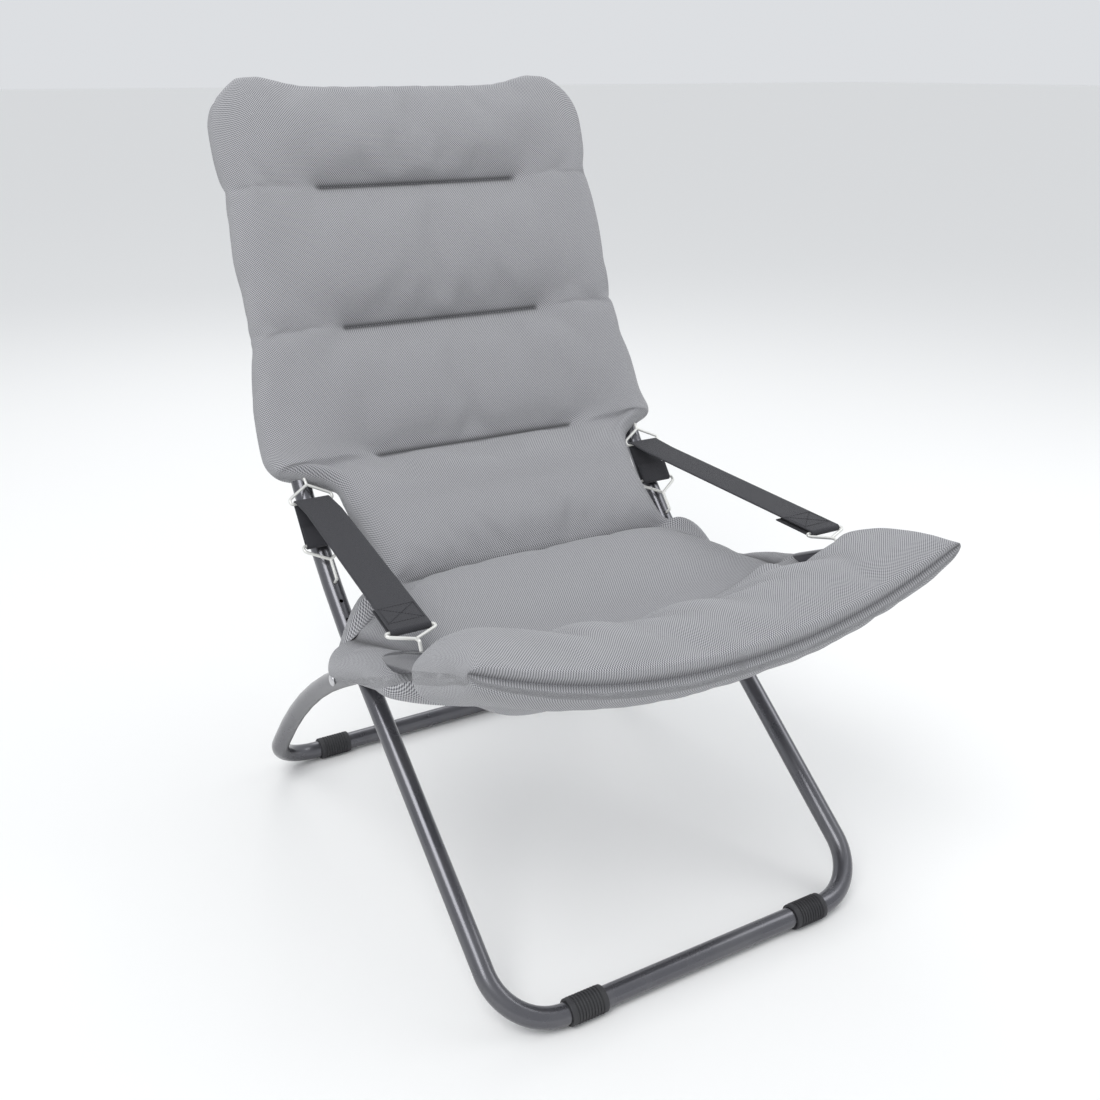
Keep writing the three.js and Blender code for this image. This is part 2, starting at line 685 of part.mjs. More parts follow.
// seat section: hangs between the rails, with its front hem round the bowed bar
const seatMiddle = new THREE.CatmullRomCurve3([
  inSideView(HIP_EDGE_Y - SEAM_GAP, EDGE_HEIGHT),
  ...SEAT_SLOPE.map((place) => inSideView(...place)),
  inSideView(SEAT_FRONT - SEAT_HEM.past, SEAT_HEM.height),
]);
function seatPlace(u, v) {
  const middle = seatMiddle.getPoint(clamp01(u));
  const flare = THREE.MathUtils.smoothstep(u, FLARE_FROM, 1);
  const half = THREE.MathUtils.lerp(SEAT_REAR_HALF_WIDTH, SEAT_FRONT_HALF_WIDTH, flare);
  const edge = railHeight(middle.y) + THREE.MathUtils.lerp(HIP_LIFT, SEAT_LIFT, clamp01(2 * u));
  const power = THREE.MathUtils.lerp(SIDE_POWERS.rear, SIDE_POWERS.front, clamp01(1.6 * u));
  const rise = Math.pow(Math.abs(v), power);
  return new THREE.Vector3(v * half, middle.y, THREE.MathUtils.lerp(middle.z, edge, rise));
}
const seatThickness = (u, v) =>
  THREE.MathUtils.lerp(HIP_THICKNESS, SEAT_THICKNESS, clamp01(2 * u)) * sheetEdge(v) *
  sheetEnd(SEAT_END_SHARE, u, CROWN_POWERS.seat);
const seatNotches = [-1, 1].map((side) =>
  new THREE.BoxGeometry(...NOTCH.size).translate(side * NOTCH.x, NOTCH.y, NOTCH.height));
const seatSheet = paddedSheet(10, 12, seatPlace, seatThickness);
addPiece('seat_cushion', subtract(seatSheet, [seatChannel, ...seatNotches]), 'textile');

// hip section: from the lowest back seam down to the crease and over the rails by the pivots
const hipTop = onBack(1, BACK_CUSHION_START - HIP_START.first, BACK_OUT);
const hipNext = onBack(1, BACK_CUSHION_START - HIP_START.second, BACK_OUT);
const hipMiddle = new THREE.CatmullRomCurve3([
  inSideView(hipTop.y, hipTop.z),
  inSideView(hipNext.y, hipNext.z),
  ...HIP_SLOPE.map((place) => inSideView(...place)),
  inSideView(HIP_EDGE_Y + SEAM_GAP, EDGE_HEIGHT),
]);
function hipPlace(u, v) {
  const middle = hipMiddle.getPoint(clamp01(u));
  const overRails = 1 - THREE.MathUtils.smoothstep(middle.y, OVER_RAILS_Y, CREASE_Y);
  const up = THREE.MathUtils.mapLinear(middle.y, CREASE_Y, hipTop.y, 0, 1);
  const waist = THREE.MathUtils.lerp(WAIST_AT_CREASE, WAIST_AT_SEAM, up);
  const half = THREE.MathUtils.lerp(waist, SEAT_REAR_HALF_WIDTH, overRails);
  const edge = THREE.MathUtils.lerp(middle.z, railHeight(middle.y) + HIP_LIFT, overRails);
  const rise = Math.pow(Math.abs(v), SIDE_POWERS.rear);
  return new THREE.Vector3(v * half, middle.y, THREE.MathUtils.lerp(middle.z, edge, rise));
}
const hipThickness = (u, v) =>
  HIP_THICKNESS * sheetEdge(v) * sheetEnd(HIP_END_SHARE, 2 * u - 1, CROWN_POWERS.hip);
const clearSection = rodSection(TUBE_RADIUS + LEG_CLEARANCE, TUBE_SIDES);
const { below, above } = LEG_CLEARANCE_REACH;
const legClearances = [
  new Stretch(backRoute, backPivot - below, backPivot + above),
  new Stretch(backRoute, backPivotRight - above, backPivotRight + below),
].map((stretch) => sweep(clearSection, stretch));
const pivotClearance = acrossPivot(WASHER_RADIUS + PIVOT_CLEARANCE);
const hipSheet = paddedSheet(12, 12, hipPlace, hipThickness);
const hipCuts = [seatChannel, ...legClearances, pivotClearance];
addPiece('hip_cushion', subtract(hipSheet, hipCuts), 'textile');

// ---- small pieces, left and right ---------------------------------------------------------------
const rearFootY = seatLeft.foot.at.y;
eachSide((side, name) => {
  addPiece(`pivot_rivet_${name}`, rivetGeometry(side), 'bareSteel');
  addPiece(`pivot_washer_${name}`, washerGeometry(side), 'rubber');
  addPiece(`front_foot_${name}`, footGeometry(side * FRONT_FOOT_X, 0), 'rubber');
  addPiece(`rear_foot_${name}`, footGeometry(side * REAR_FOOT_X, rearFootY), 'rubber');
  addPiece(`front_ring_${name}`, wireFitting(onRail, side, ringPlan, SEAT_HALF_WIDTH), 'wire');
  addPiece(`strap_guide_${name}`, wireFitting(onBack, side, guidePlan, BACK_HALF_WIDTH), 'wire');
  addPiece(`adjuster_hook_${name}`, wireFitting(onBack, side, hookPlan, BACK_HALF_WIDTH), 'wire');
  addPiece(`armrest_strap_${name}`, strapGeometry(side), 'webbing');
});

export default chair;
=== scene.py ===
# %% [markdown]
# # A folding padded deck chair
# The chair is two bent tube frames that cross at a pair of rivets, with one padded cover
# slung between them and a webbing strap on each side as an armrest.
# The CAD model is the fixed frame of this scene. It is loaded first, and everything that is
# made here sits on it: round tubes, wire fittings, rubber feet, straps and the sewn cover.

# %% Load the frame
import json
import math

import bmesh
import bpy
import numpy as np
from mathutils import Matrix, Vector
from mathutils.bvhtree import BVHTree


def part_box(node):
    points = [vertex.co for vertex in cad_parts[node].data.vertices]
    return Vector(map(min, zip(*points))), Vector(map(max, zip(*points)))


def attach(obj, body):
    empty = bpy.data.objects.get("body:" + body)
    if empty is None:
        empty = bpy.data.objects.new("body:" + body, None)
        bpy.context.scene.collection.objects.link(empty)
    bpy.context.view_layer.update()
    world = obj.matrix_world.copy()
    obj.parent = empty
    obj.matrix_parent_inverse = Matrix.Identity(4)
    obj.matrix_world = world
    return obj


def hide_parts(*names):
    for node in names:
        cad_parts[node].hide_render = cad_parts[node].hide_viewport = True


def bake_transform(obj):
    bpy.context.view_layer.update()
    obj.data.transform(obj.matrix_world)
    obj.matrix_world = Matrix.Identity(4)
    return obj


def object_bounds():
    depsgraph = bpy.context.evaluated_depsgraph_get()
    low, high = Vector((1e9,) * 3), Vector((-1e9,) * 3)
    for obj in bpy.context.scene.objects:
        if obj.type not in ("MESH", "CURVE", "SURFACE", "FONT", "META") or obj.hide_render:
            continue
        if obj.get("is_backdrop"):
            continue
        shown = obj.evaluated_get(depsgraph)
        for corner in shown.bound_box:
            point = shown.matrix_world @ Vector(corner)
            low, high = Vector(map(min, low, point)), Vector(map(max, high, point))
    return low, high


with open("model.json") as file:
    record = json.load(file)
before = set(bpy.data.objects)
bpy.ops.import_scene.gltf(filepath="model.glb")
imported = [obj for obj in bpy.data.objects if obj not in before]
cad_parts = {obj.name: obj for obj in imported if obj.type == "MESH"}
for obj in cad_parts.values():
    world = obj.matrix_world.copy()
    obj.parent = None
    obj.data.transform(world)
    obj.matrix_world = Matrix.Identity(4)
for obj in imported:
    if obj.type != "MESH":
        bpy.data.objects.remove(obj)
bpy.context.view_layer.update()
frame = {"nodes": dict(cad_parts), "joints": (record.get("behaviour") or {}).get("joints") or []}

nodes = frame["nodes"]

# %% [markdown]
# ## Sizes
# The pivot comes from the fold joint and the feet come from their boxes. The bends and
# angles are the tube bender's numbers, so that a round tube can be laid exactly over the
# faceted one. All lengths are metres, and places in a side view are given from the front
# ground bar back.

# %% Sizes of the two tube frames
fold = next(j for j in frame["joints"] if j["name"] == "fold")
PIVOT = Vector(fold["pos_m"])
FRONT_BAR_Y = sum(c.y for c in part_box("front_foot_left")) / 2
TUBE_RADIUS, TUBE_WALL = 0.0125, 0.0012
BACK_X, SEAT_X = 0.262, 0.292  # half-widths of the inner and the outer frame, on the axis
BAR_Z = 0.0145
BACK_ANGLE, BACK_BEND, BACK_LENGTH = math.radians(68.85), 0.922, 0.782
RAIL_ANGLE, RAIL_FRONT_ANGLE = math.radians(29.5), math.radians(17)
RAIL_STRAIGHT, RAIL_BEND = 0.150, 0.900
REAR_LEG_ANGLE, REAR_LEG_BEND = math.radians(50.5), 0.900
SEAT_FRONT_Y = FRONT_BAR_Y - 0.015
BOW_DEPTH, BOW_TANGENT = 0.112, 0.208
CORNER_BEND, SEAT_CORNER_BEND = 0.072, 0.058
SPLICE, GAP = 0.038, 0.0002  # where two tubes meet, from the pivot, and half the gap there
WIRE_RADIUS, RING_HALF = 0.002, 0.0285
HOLE_FIRST, HOLE_SPACING, HOLE_COUNT, HOLE_RADIUS = 0.124, 0.027, 3, 0.0026
SIDES = {"left": -1, "right": 1}


def ahead(point, angle, distance):
    """The point that far on from another, in the side view, at an angle above the ground."""
    return point + Vector((0, math.cos(angle), math.sin(angle))) * distance


# %% [markdown]
# ## Lines to follow
# A bent tube is straight runs joined by arcs. One helper rounds the corners of any path,
# and a small class measures along the result, so that a fitting can be put "124 mm up the
# tube from the pivot" as a maker would say it.

# %% Rounded paths and places along them
def rounded(corners, closed=False, turn_step=math.radians(4)):
    """Points along straight runs joined by arcs; corners are (place, bend radius)."""
    out, count = [], len(corners)
    for i, (at, bend) in enumerate(corners):
        if bend == 0 or (not closed and i in (0, count - 1)):
            out.append(at.copy())
            continue
        arriving = (at - corners[i - 1][0]).normalized()
        leaving = (corners[(i + 1) % count][0] - at).normalized()
        turn = arriving.angle(leaving)
        start = at - arriving * (bend * math.tan(turn / 2))
        axis = arriving.cross(leaving).normalized()
        centre = start + axis.cross(arriving) * bend
        steps = max(2, math.ceil(turn / turn_step))
        for k in range(steps + 1):
            spin = Matrix.Rotation(turn * k / steps, 3, axis)
            out.append(centre + spin @ (start - centre))
    return out


class Path:
    """Points in a row, measured by distance along them."""

    def __init__(self, points, closed=False):
        self.points = [Vector(p) for p in points]
        if closed:
            self.points.append(self.points[0])
        self.array = np.array([tuple(p) for p in self.points])
        steps = np.linalg.norm(np.diff(self.array, axis=0), axis=1)
        self.marks = np.concatenate([[0], np.cumsum(steps)])
        self.length = float(self.marks[-1])

    def at(self, s):
        return Vector([float(np.interp(s, self.marks, self.array[:, k])) for k in range(3)])

    def tangent(self, s):
        s = min(max(s, 1e-4), self.length - 1e-4)
        return (self.at(s + 1e-4) - self.at(s - 1e-4)).normalized()

    def nearest(self, point):
        tries = np.arange(0, self.length, 0.0005)
        places = np.stack([np.interp(tries, self.marks, self.array[:, k]) for k in range(3)], 1)
        return float(tries[np.linalg.norm(places - np.array(point), axis=1).argmin()])

    def stretch(self, start, end):
        """The points from one distance to another, going on round a closed path."""
        laps = [self.marks, self.marks[1:] + self.length]
        marks = np.concatenate(laps)
        inside = marks[(marks > start + 1e-3) & (marks < end - 1e-3)]
        return [self.at(s % self.length) for s in (start, *inside, end)]


# %% The two frames' centre lines
leg_angle = math.atan2(PIVOT.z - BAR_Z, PIVOT.y - FRONT_BAR_Y)


def back_side(x):
    start = Vector((x, PIVOT.y, PIVOT.z))
    turn = BACK_ANGLE - leg_angle
    tangent = BACK_BEND * math.tan(turn / 2)
    knee = ahead(start, leg_angle, tangent)
    top = ahead(knee, BACK_ANGLE, tangent + BACK_LENGTH - BACK_BEND * turn)
    foot = Vector((x, FRONT_BAR_Y, BAR_Z))
    return (foot, CORNER_BEND), (knee, BACK_BEND), (top, CORNER_BEND)


def seat_side(x):
    start = Vector((x, PIVOT.y, PIVOT.z))
    knee = ahead(start, -RAIL_ANGLE, REAR_LEG_BEND * math.tan((REAR_LEG_ANGLE - RAIL_ANGLE) / 2))
    foot = ahead(knee, -REAR_LEG_ANGLE, (knee.z - BAR_Z) / math.sin(REAR_LEG_ANGLE))
    tangent = RAIL_BEND * math.tan((RAIL_ANGLE - RAIL_FRONT_ANGLE) / 2)
    rail = ahead(start, math.pi - RAIL_ANGLE, RAIL_STRAIGHT + tangent)
    reach = (rail.y - SEAT_FRONT_Y) / math.cos(RAIL_FRONT_ANGLE)
    front = ahead(rail, math.pi - RAIL_FRONT_ANGLE, reach)
    return (
        (foot, CORNER_BEND), (knee, REAR_LEG_BEND), (rail, RAIL_BEND), (front, SEAT_CORNER_BEND)
    )


back_left, back_right = back_side(-BACK_X), back_side(BACK_X)
back_path = Path(rounded([*back_left, *back_right[::-1]], closed=True), closed=True)
seat_left, seat_right = seat_side(-SEAT_X), seat_side(SEAT_X)
bow_slope = math.atan(BOW_DEPTH / SEAT_X)
bow_low = Vector((0, SEAT_FRONT_Y + 0.008, seat_left[3][0].z - BOW_DEPTH))
bow = (bow_low, BOW_TANGENT / math.tan(bow_slope))
seat_path = Path(rounded([*seat_left, bow, *seat_right[::-1]], closed=True), closed=True)

back_line = Path(rounded([
    (Vector((0, PIVOT.y, PIVOT.z)), 0),
    (Vector((0, *back_left[1][0].yz)), BACK_BEND),
    (ahead(Vector((0, *back_left[2][0].yz)), BACK_ANGLE, 0.08), 0),
], turn_step=math.radians(0.5)))
rail_line = Path(rounded([
    (Vector((0, PIVOT.y, PIVOT.z)), 0),
    (Vector((0, *seat_left[2][0].yz)), RAIL_BEND),
    (ahead(Vector((0, *seat_left[3][0].yz)), math.pi - RAIL_FRONT_ANGLE, 0.06), 0),
], turn_step=math.radians(0.5)))


def beside(line, s, out, x):
    """A place along a side tube from the pivot, out from its axis towards the sitter."""
    t = line.tangent(s)
    normal = Vector((0, -t.z, t.y)) if t.y > 0 else Vector((0, t.z, -t.y))
    place = line.at(s) + normal * out
    return Vector((x, place.y, place.z))


print("back frame", round(back_path.length, 3), "m of tube, seat frame", round(seat_path.length, 3), "m")

# %% [markdown]
# ## Materials
# Cloth and webbing are both woven, so the weave is one node group that each material
# places with its own thread width. A second group gives painted and moulded pieces the
# slight unevenness of handled surfaces. Both put out only masks and heights; the shader's
# own numbers stay on its sockets.

# %% Node helpers
def shader_group(name, inputs, outputs):
    group = bpy.data.node_groups.new(name, "ShaderNodeTree")
    for label, kind, value in inputs:
        socket = group.interface.new_socket(label, in_out="INPUT", socket_type=kind)
        if value is not None:
            socket.default_value = value
    for label, kind in outputs:
        group.interface.new_socket(label, in_out="OUTPUT", socket_type=kind)
    return group, group.nodes.new("NodeGroupInput"), group.nodes.new("NodeGroupOutput")


def add_node(tree, kind, sockets=None, **properties):
    """A new node; each named or numbered socket gets a value or a link."""
    made = tree.nodes.new(kind)
    for key, value in properties.items():
        setattr(made, key, value)
    for key, value in (sockets or {}).items():
        if isinstance(value, bpy.types.NodeSocket):
            tree.links.new(value, made.inputs[key])
        else:
            made.inputs[key].default_value = value
    return made


def math_node(tree, operation, *values, clamp=False):
    sockets = dict(enumerate(values))
    return add_node(tree, "ShaderNodeMath", sockets, operation=operation, use_clamp=clamp).outputs[0]


def colour_mix(tree, factor, first, second):
    colours = {6: first, 7: second}
    sockets = {k: (*v, 1) if isinstance(v, tuple) else v for k, v in colours.items()}
    return add_node(tree, "ShaderNodeMix", {0: factor, **sockets}, data_type="RGBA").outputs[2]


def noise(tree, scale, **more):
    """Noise laid over the object's own coordinates."""
    where = add_node(tree, "ShaderNodeTexCoord").outputs["Object"]
    return add_node(tree, "ShaderNodeTexNoise", {"Vector": where, "Scale": scale, **more}).outputs["Fac"]


def new_shader(name, **sockets):
    """A material with values on its shader's sockets: the material, its tree, its shader."""
    material = bpy.data.materials.new(name)
    material.use_nodes = True
    shader = material.node_tree.nodes["Principled BSDF"]
    for label, value in sockets.items():
        shader.inputs[label.replace("_", " ")].default_value = value
    return material, material.node_tree, shader


def add_bump(tree, shader, height, strength, distance):
    sockets = {"Strength": strength, "Distance": distance, "Height": height}
    bump = add_node(tree, "ShaderNodeBump", sockets)
    tree.links.new(bump.outputs["Normal"], shader.inputs["Normal"])


# %% Weave group: threads that pass over and under each other
weave, inside, outside = shader_group(
    "woven_threads",
    [("Across", "NodeSocketFloat", 0.0), ("Along", "NodeSocketFloat", 0.0),
     ("Thread width", "NodeSocketFloat", 0.0015)],
    [("Over", "NodeSocketFloat"), ("Height", "NodeSocketFloat")],
)
waves = []
for label in ("Across", "Along"):
    turns = math_node(weave, "DIVIDE", inside.outputs[label], inside.outputs["Thread width"])
    waves.append(math_node(weave, "SINE", math_node(weave, "MULTIPLY", turns, math.pi)))
checker = math_node(weave, "MULTIPLY", *waves)
over = math_node(weave, "MULTIPLY_ADD", checker, 1.6, 0.5, clamp=True)
weave.links.new(over, outside.inputs["Over"])
weave.links.new(math_node(weave, "ABSOLUTE", checker), outside.inputs["Height"])

# %% Handling group: patches where a finish is a little duller
handled, inside, outside = shader_group(
    "handled_surface",
    [("Patch size", "NodeSocketFloat", 20.0), ("Roughness", "NodeSocketFloat", 0.4),
     ("Change", "NodeSocketFloat", 0.1)],
    [("Roughness", "NodeSocketFloat"), ("Dust", "NodeSocketFloat"), ("Height", "NodeSocketFloat")],
)
given = inside.outputs
centred = math_node(handled, "SUBTRACT", noise(handled, given["Patch size"], Detail=4), 0.5)
shift = math_node(handled, "MULTIPLY", centred, given["Change"])
duller = math_node(handled, "ADD", shift, given["Roughness"])
dust = math_node(handled, "MULTIPLY_ADD", centred, 2.0, 0.2, clamp=True)
grain = noise(handled, 1400)
for label, value in (("Roughness", duller), ("Dust", dust), ("Height", grain)):
    handled.links.new(value, outside.inputs[label])


# %% Finishes of the hard pieces
def finish_of(name, colour, dust_colour, metallic, roughness, change, grain_depth, coat=0.0):
    material, tree, shader = new_shader(name, Metallic=metallic, Coat_Weight=coat)
    surface = add_node(tree, "ShaderNodeGroup", node_tree=handled)
    surface.inputs["Roughness"].default_value = roughness
    surface.inputs["Change"].default_value = change
    tree.links.new(surface.outputs["Roughness"], shader.inputs["Roughness"])
    base = colour_mix(tree, surface.outputs["Dust"], colour, dust_colour)
    tree.links.new(base, shader.inputs["Base Color"])
    add_bump(tree, shader, surface.outputs["Height"], 0.3, grain_depth)
    return material


paint = finish_of(
    "graphite_paint", (0.125, 0.125, 0.138), (0.16, 0.16, 0.17), 0.85, 0.28, 0.12, 0.00004, coat=0.25)
steel = finish_of("zinc_plated_steel", (0.62, 0.62, 0.64), (0.5, 0.5, 0.5), 1.0, 0.32, 0.2, 0.00003)
wire_coat = finish_of("pale_coated_wire", (0.78, 0.78, 0.75), (0.66, 0.66, 0.63), 0.35, 0.34, 0.15, 0.00003)
rubber = finish_of("black_rubber", (0.028, 0.028, 0.032), (0.05, 0.05, 0.052), 0.0, 0.62, 0.2, 0.00008)
nylon = finish_of("black_nylon", (0.03, 0.03, 0.033), (0.045, 0.045, 0.048), 0.0, 0.5, 0.15, 0.00005)
thread = finish_of("sewing_thread", (0.22, 0.22, 0.24), (0.28, 0.28, 0.3), 0.0, 0.8, 0.1, 0.00005)
black_thread = finish_of("black_thread", (0.03, 0.03, 0.035), (0.045, 0.045, 0.05), 0.0, 0.8, 0.1, 0.00005)


# %% Woven finishes: the cover's textile and the straps' webbing
def woven(name, dark, light, width, depth, roughness, sheen, mottle):
    material, tree, shader = new_shader(
        name, Roughness=roughness, Sheen_Weight=sheen, Sheen_Roughness=0.5)
    cloth_uv = add_node(tree, "ShaderNodeUVMap", uv_map="cloth").outputs["UV"]
    split = add_node(tree, "ShaderNodeSeparateXYZ", {0: cloth_uv})
    threads = add_node(tree, "ShaderNodeGroup", node_tree=weave)
    threads.inputs["Thread width"].default_value = width
    tree.links.new(split.outputs["X"], threads.inputs["Across"])
    tree.links.new(split.outputs["Y"], threads.inputs["Along"])
    colour = colour_mix(tree, threads.outputs["Over"], dark, light)
    faded = math_node(tree, "MULTIPLY_ADD", noise(tree, 14), mottle, 1 - mottle / 2)
    # Painted shade: a point attribute darkens the colour towards near black in the sewn lines, the crease,
    # the hem and the side slit.
    shade = add_node(tree, "ShaderNodeAttribute", attribute_name="seam_shade").outputs["Fac"]
    level = math_node(tree, "MULTIPLY", faded, math_node(tree, "SUBTRACT", 1.0, shade, clamp=True))
    base = colour_mix(tree, level, (0.004, 0.004, 0.005), colour)
    tree.links.new(base, shader.inputs["Base Color"])
    add_bump(tree, shader, threads.outputs["Height"], 0.8, depth)
    return material


textile = woven(
    "cover_textile", (0.135, 0.135, 0.148), (0.53, 0.53, 0.548), 0.0015, 0.0005, 0.9, 0.15, 0.12)
webbing = woven(
    "strap_webbing", (0.018, 0.018, 0.023), (0.040, 0.040, 0.048), 0.0011, 0.0004, 0.75, 0.1, 0.1)
print("materials", len(bpy.data.materials))

# %% [markdown]
# ## Geometry Nodes for what follows a path
# A tube or a wire is a circle swept along its line. The tree takes a line made of edges,
# turns it into a curve and sweeps it, so the bend list above drives the shape directly.
# The result is kept as a plain mesh.

# %% Tree helpers
def geometry_tree(name, inputs):
    tree = bpy.data.node_groups.new(name, "GeometryNodeTree")
    tree.interface.new_socket("Geometry", in_out="INPUT", socket_type="NodeSocketGeometry")
    for label, kind in inputs:
        tree.interface.new_socket(label, in_out="INPUT", socket_type=kind)
    tree.interface.new_socket("Geometry", in_out="OUTPUT", socket_type="NodeSocketGeometry")
    return tree, tree.nodes.new("NodeGroupInput"), tree.nodes.new("NodeGroupOutput")


def end_tree(tree, geometry, inside, outside):
    """Realize Instances, smooth shading and Set Material, the last steps of every tree."""
    real = tree.nodes.new("GeometryNodeRealizeInstances")
    smooth = tree.nodes.new("GeometryNodeSetShadeSmooth")
    coat = tree.nodes.new("GeometryNodeSetMaterial")
    tree.links.new(geometry, real.inputs[0])
    tree.links.new(real.outputs[0], smooth.inputs[0])
    tree.links.new(smooth.outputs[0], coat.inputs[0])
    tree.links.new(inside.outputs["Material"], coat.inputs["Material"])
    tree.links.new(coat.outputs[0], outside.inputs[0])


def put_on_scene(name, mesh):
    obj = bpy.data.objects.new(name, mesh)
    bpy.context.scene.collection.objects.link(obj)
    return obj


def mesh_from(name, points, faces=(), edges=()):
    mesh = bpy.data.meshes.new(name)
    mesh.from_pydata([tuple(p) for p in points], list(edges), list(faces))
    mesh.update()
    return put_on_scene(name, mesh)


def keep_result(name, source):
    """The source with its modifiers run, as a plain mesh object of that name."""
    graph = bpy.context.evaluated_depsgraph_get()
    mesh = bpy.data.meshes.new_from_object(source.evaluated_get(graph), depsgraph=graph)
    bpy.data.objects.remove(source)
    made = put_on_scene(name, mesh)
    mesh.name = name
    return made


def grow(source, tree, **values):
    """Adds the tree to the source as a modifier, with its inputs set by identifier."""
    modifier = source.modifiers.new(tree.name, "NODES")
    modifier.node_group = tree
    for item in tree.interface.items_tree:
        key = item.name.lower().replace(" ", "_")
        if item.item_type == "SOCKET" and item.in_out == "INPUT" and key in values:
            modifier[item.identifier] = values[key]
    return modifier


def turn_outward(mesh, merge=False):
    """Turns all faces outward; merging first joins points that lie on each other."""
    shape = bmesh.new()
    shape.from_mesh(mesh)
    if merge:
        bmesh.ops.remove_doubles(shape, verts=shape.verts, dist=1e-6)
        bmesh.ops.dissolve_degenerate(shape, dist=1e-7, edges=shape.edges)
    bmesh.ops.recalc_face_normals(shape, faces=shape.faces)
    shape.to_mesh(mesh)
    shape.free()


def lines_mesh(name, *lines):
    """Edges along each line; a line is (points, closed)."""
    points, edges = [], []
    for line, closed in lines:
        first = len(points)
        points += line
        edges += [(first + i, first + i + 1) for i in range(len(line) - 1)]
        if closed:
            edges.append((len(points) - 1, first))
    return mesh_from(name, points, edges=edges)


# %% The sweep tree
sweep_tree, inside, outside = geometry_tree("round_bar_on_a_line", [
    ("Radius", "NodeSocketFloat"), ("Sides", "NodeSocketInt"),
    ("Closed ends", "NodeSocketBool"), ("Material", "NodeSocketMaterial")])
given = inside.outputs
to_curve = add_node(sweep_tree, "GeometryNodeMeshToCurve", {0: given[0]})
ring = add_node(sweep_tree, "GeometryNodeCurvePrimitiveCircle",
                {"Radius": given["Radius"], "Resolution": given["Sides"]})
swept = add_node(sweep_tree, "GeometryNodeCurveToMesh", {
    "Curve": to_curve.outputs[0], "Profile Curve": ring.outputs[0], "Fill Caps": given["Closed ends"]})
end_tree(sweep_tree, swept.outputs[0], inside, outside)

# %% [markdown]
# ## The four tubes
# Each frame is two tubes that meet just above the rivets, over a hidden spigot. The swept
# skin gets its wall from Solidify, and the adjuster holes are cut with a Boolean, because
# they are real holes that the hooks plug into.

# %% Sweep the tubes, give them a wall and drill them
def drill(name, places):
    """Pins through one wall of a tube, as one mesh: places are (from, to)."""
    pins = lines_mesh(name, *[([a, b], False) for a, b in places])
    grow(pins, sweep_tree, radius=HOLE_RADIUS, sides=20, closed_ends=True, material=paint)
    return keep_result(name, pins)


def tube(name, points, body, holes=()):
    source = lines_mesh(name + "_line", (points, False))
    grow(source, sweep_tree, radius=TUBE_RADIUS, sides=40, closed_ends=False, material=paint)
    wall = source.modifiers.new("wall", "SOLIDIFY")
    wall.thickness, wall.offset, wall.use_even_offset = TUBE_WALL, -1, True
    if holes:
        cut = source.modifiers.new("holes", "BOOLEAN")
        cut.operation, cut.solver, cut.object = "DIFFERENCE", "EXACT", drill(name + "_drill", holes)
    made = keep_result(name + "_round", source)
    if holes:
        bpy.data.objects.remove(bpy.data.objects[name + "_drill"])
    made.data.set_sharp_from_angle(angle=math.radians(40))
    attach(made, body)
    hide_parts(name)
    print(made.name, len(made.data.polygons), "faces")
    return made


back_pivots = [back_path.nearest((x, PIVOT.y, PIVOT.z)) for x in (-BACK_X, BACK_X)]
seat_pivots = [seat_path.nearest((x, PIVOT.y, PIVOT.z)) for x in (-SEAT_X, SEAT_X)]
back_from, back_to = back_pivots[0] + SPLICE, back_pivots[1] - SPLICE
seat_from, seat_to = seat_pivots[0] + SPLICE, seat_pivots[1] - SPLICE
RING = {"bar": (0.253, 0.036), "neck": (0.264, 0.025), "stem": 0.271, "tip": 0.009}
GUIDE = {"bar": (0.237, 0.0225), "neck": (0.262, 0.0195), "stem": 0.272, "tip": 0.009}
HOOK = {"bar": (0.178, 0.020), "neck": (0.152, 0.025), "stem": HOLE_FIRST, "tip": 0.0129}


def hole(line, s, x):
    return beside(line, s, 0.004, x), beside(line, s, 0.030, x)


back_holes = [
    hole(back_line, s, side * BACK_X)
    for side in SIDES.values()
    for s in (*[HOLE_FIRST - i * HOLE_SPACING for i in range(HOLE_COUNT)], GUIDE["stem"])
]
rail_holes = [hole(rail_line, RING["stem"], side * SEAT_X) for side in SIDES.values()]
tube("back_tube", back_path.stretch(back_from + GAP, back_to - GAP), "back_frame", back_holes)
tube("front_leg_tube", back_path.stretch(back_to + GAP, back_path.length + back_from - GAP), "back_frame")
tube("seat_tube", seat_path.stretch(seat_from + GAP, seat_to - GAP), "seat_frame", rail_holes)
tube("rear_leg_tube", seat_path.stretch(seat_to + GAP, seat_path.length + seat_from - GAP), "seat_frame")
for name in ("back_spigot_left", "back_spigot_right", "seat_spigot_left", "seat_spigot_right"):
    nodes[name].data.materials.clear()
    nodes[name].data.materials.append(steel)

# %% [markdown]
# ## Rivets, washers and feet
# Turned pieces are a profile spun about the X axis. The feet are moulded sleeves with
# close ribs; the ribs repeat, so Geometry Nodes lays rings in a row and presses the
# underside flat where the chair stands.

# %% Turned pieces
def turned(name, profile, segments=48):
    """Spins (radius, x) points about the X axis into a closed solid."""
    points, faces, count = [], [], len(profile)
    for k in range(segments):
        a = 2 * math.pi * k / segments
        points += [(x, r * math.cos(a), r * math.sin(a)) for r, x in profile]
    for k in range(segments):
        a, b = k * count, (k + 1) % segments * count
        for i in range(count):
            j = (i + 1) % count
            faces.append((a + i, a + j, b + j, b + i))
    made = mesh_from(name, points, faces)
    turn_outward(made.data, merge=True)
    made.data.shade_smooth()
    made.data.set_sharp_from_angle(angle=math.radians(35))
    return made


def stand_for(obj, node, body, material):
    obj.data.materials.clear()
    obj.data.materials.append(material)
    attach(obj, body)
    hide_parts(node)


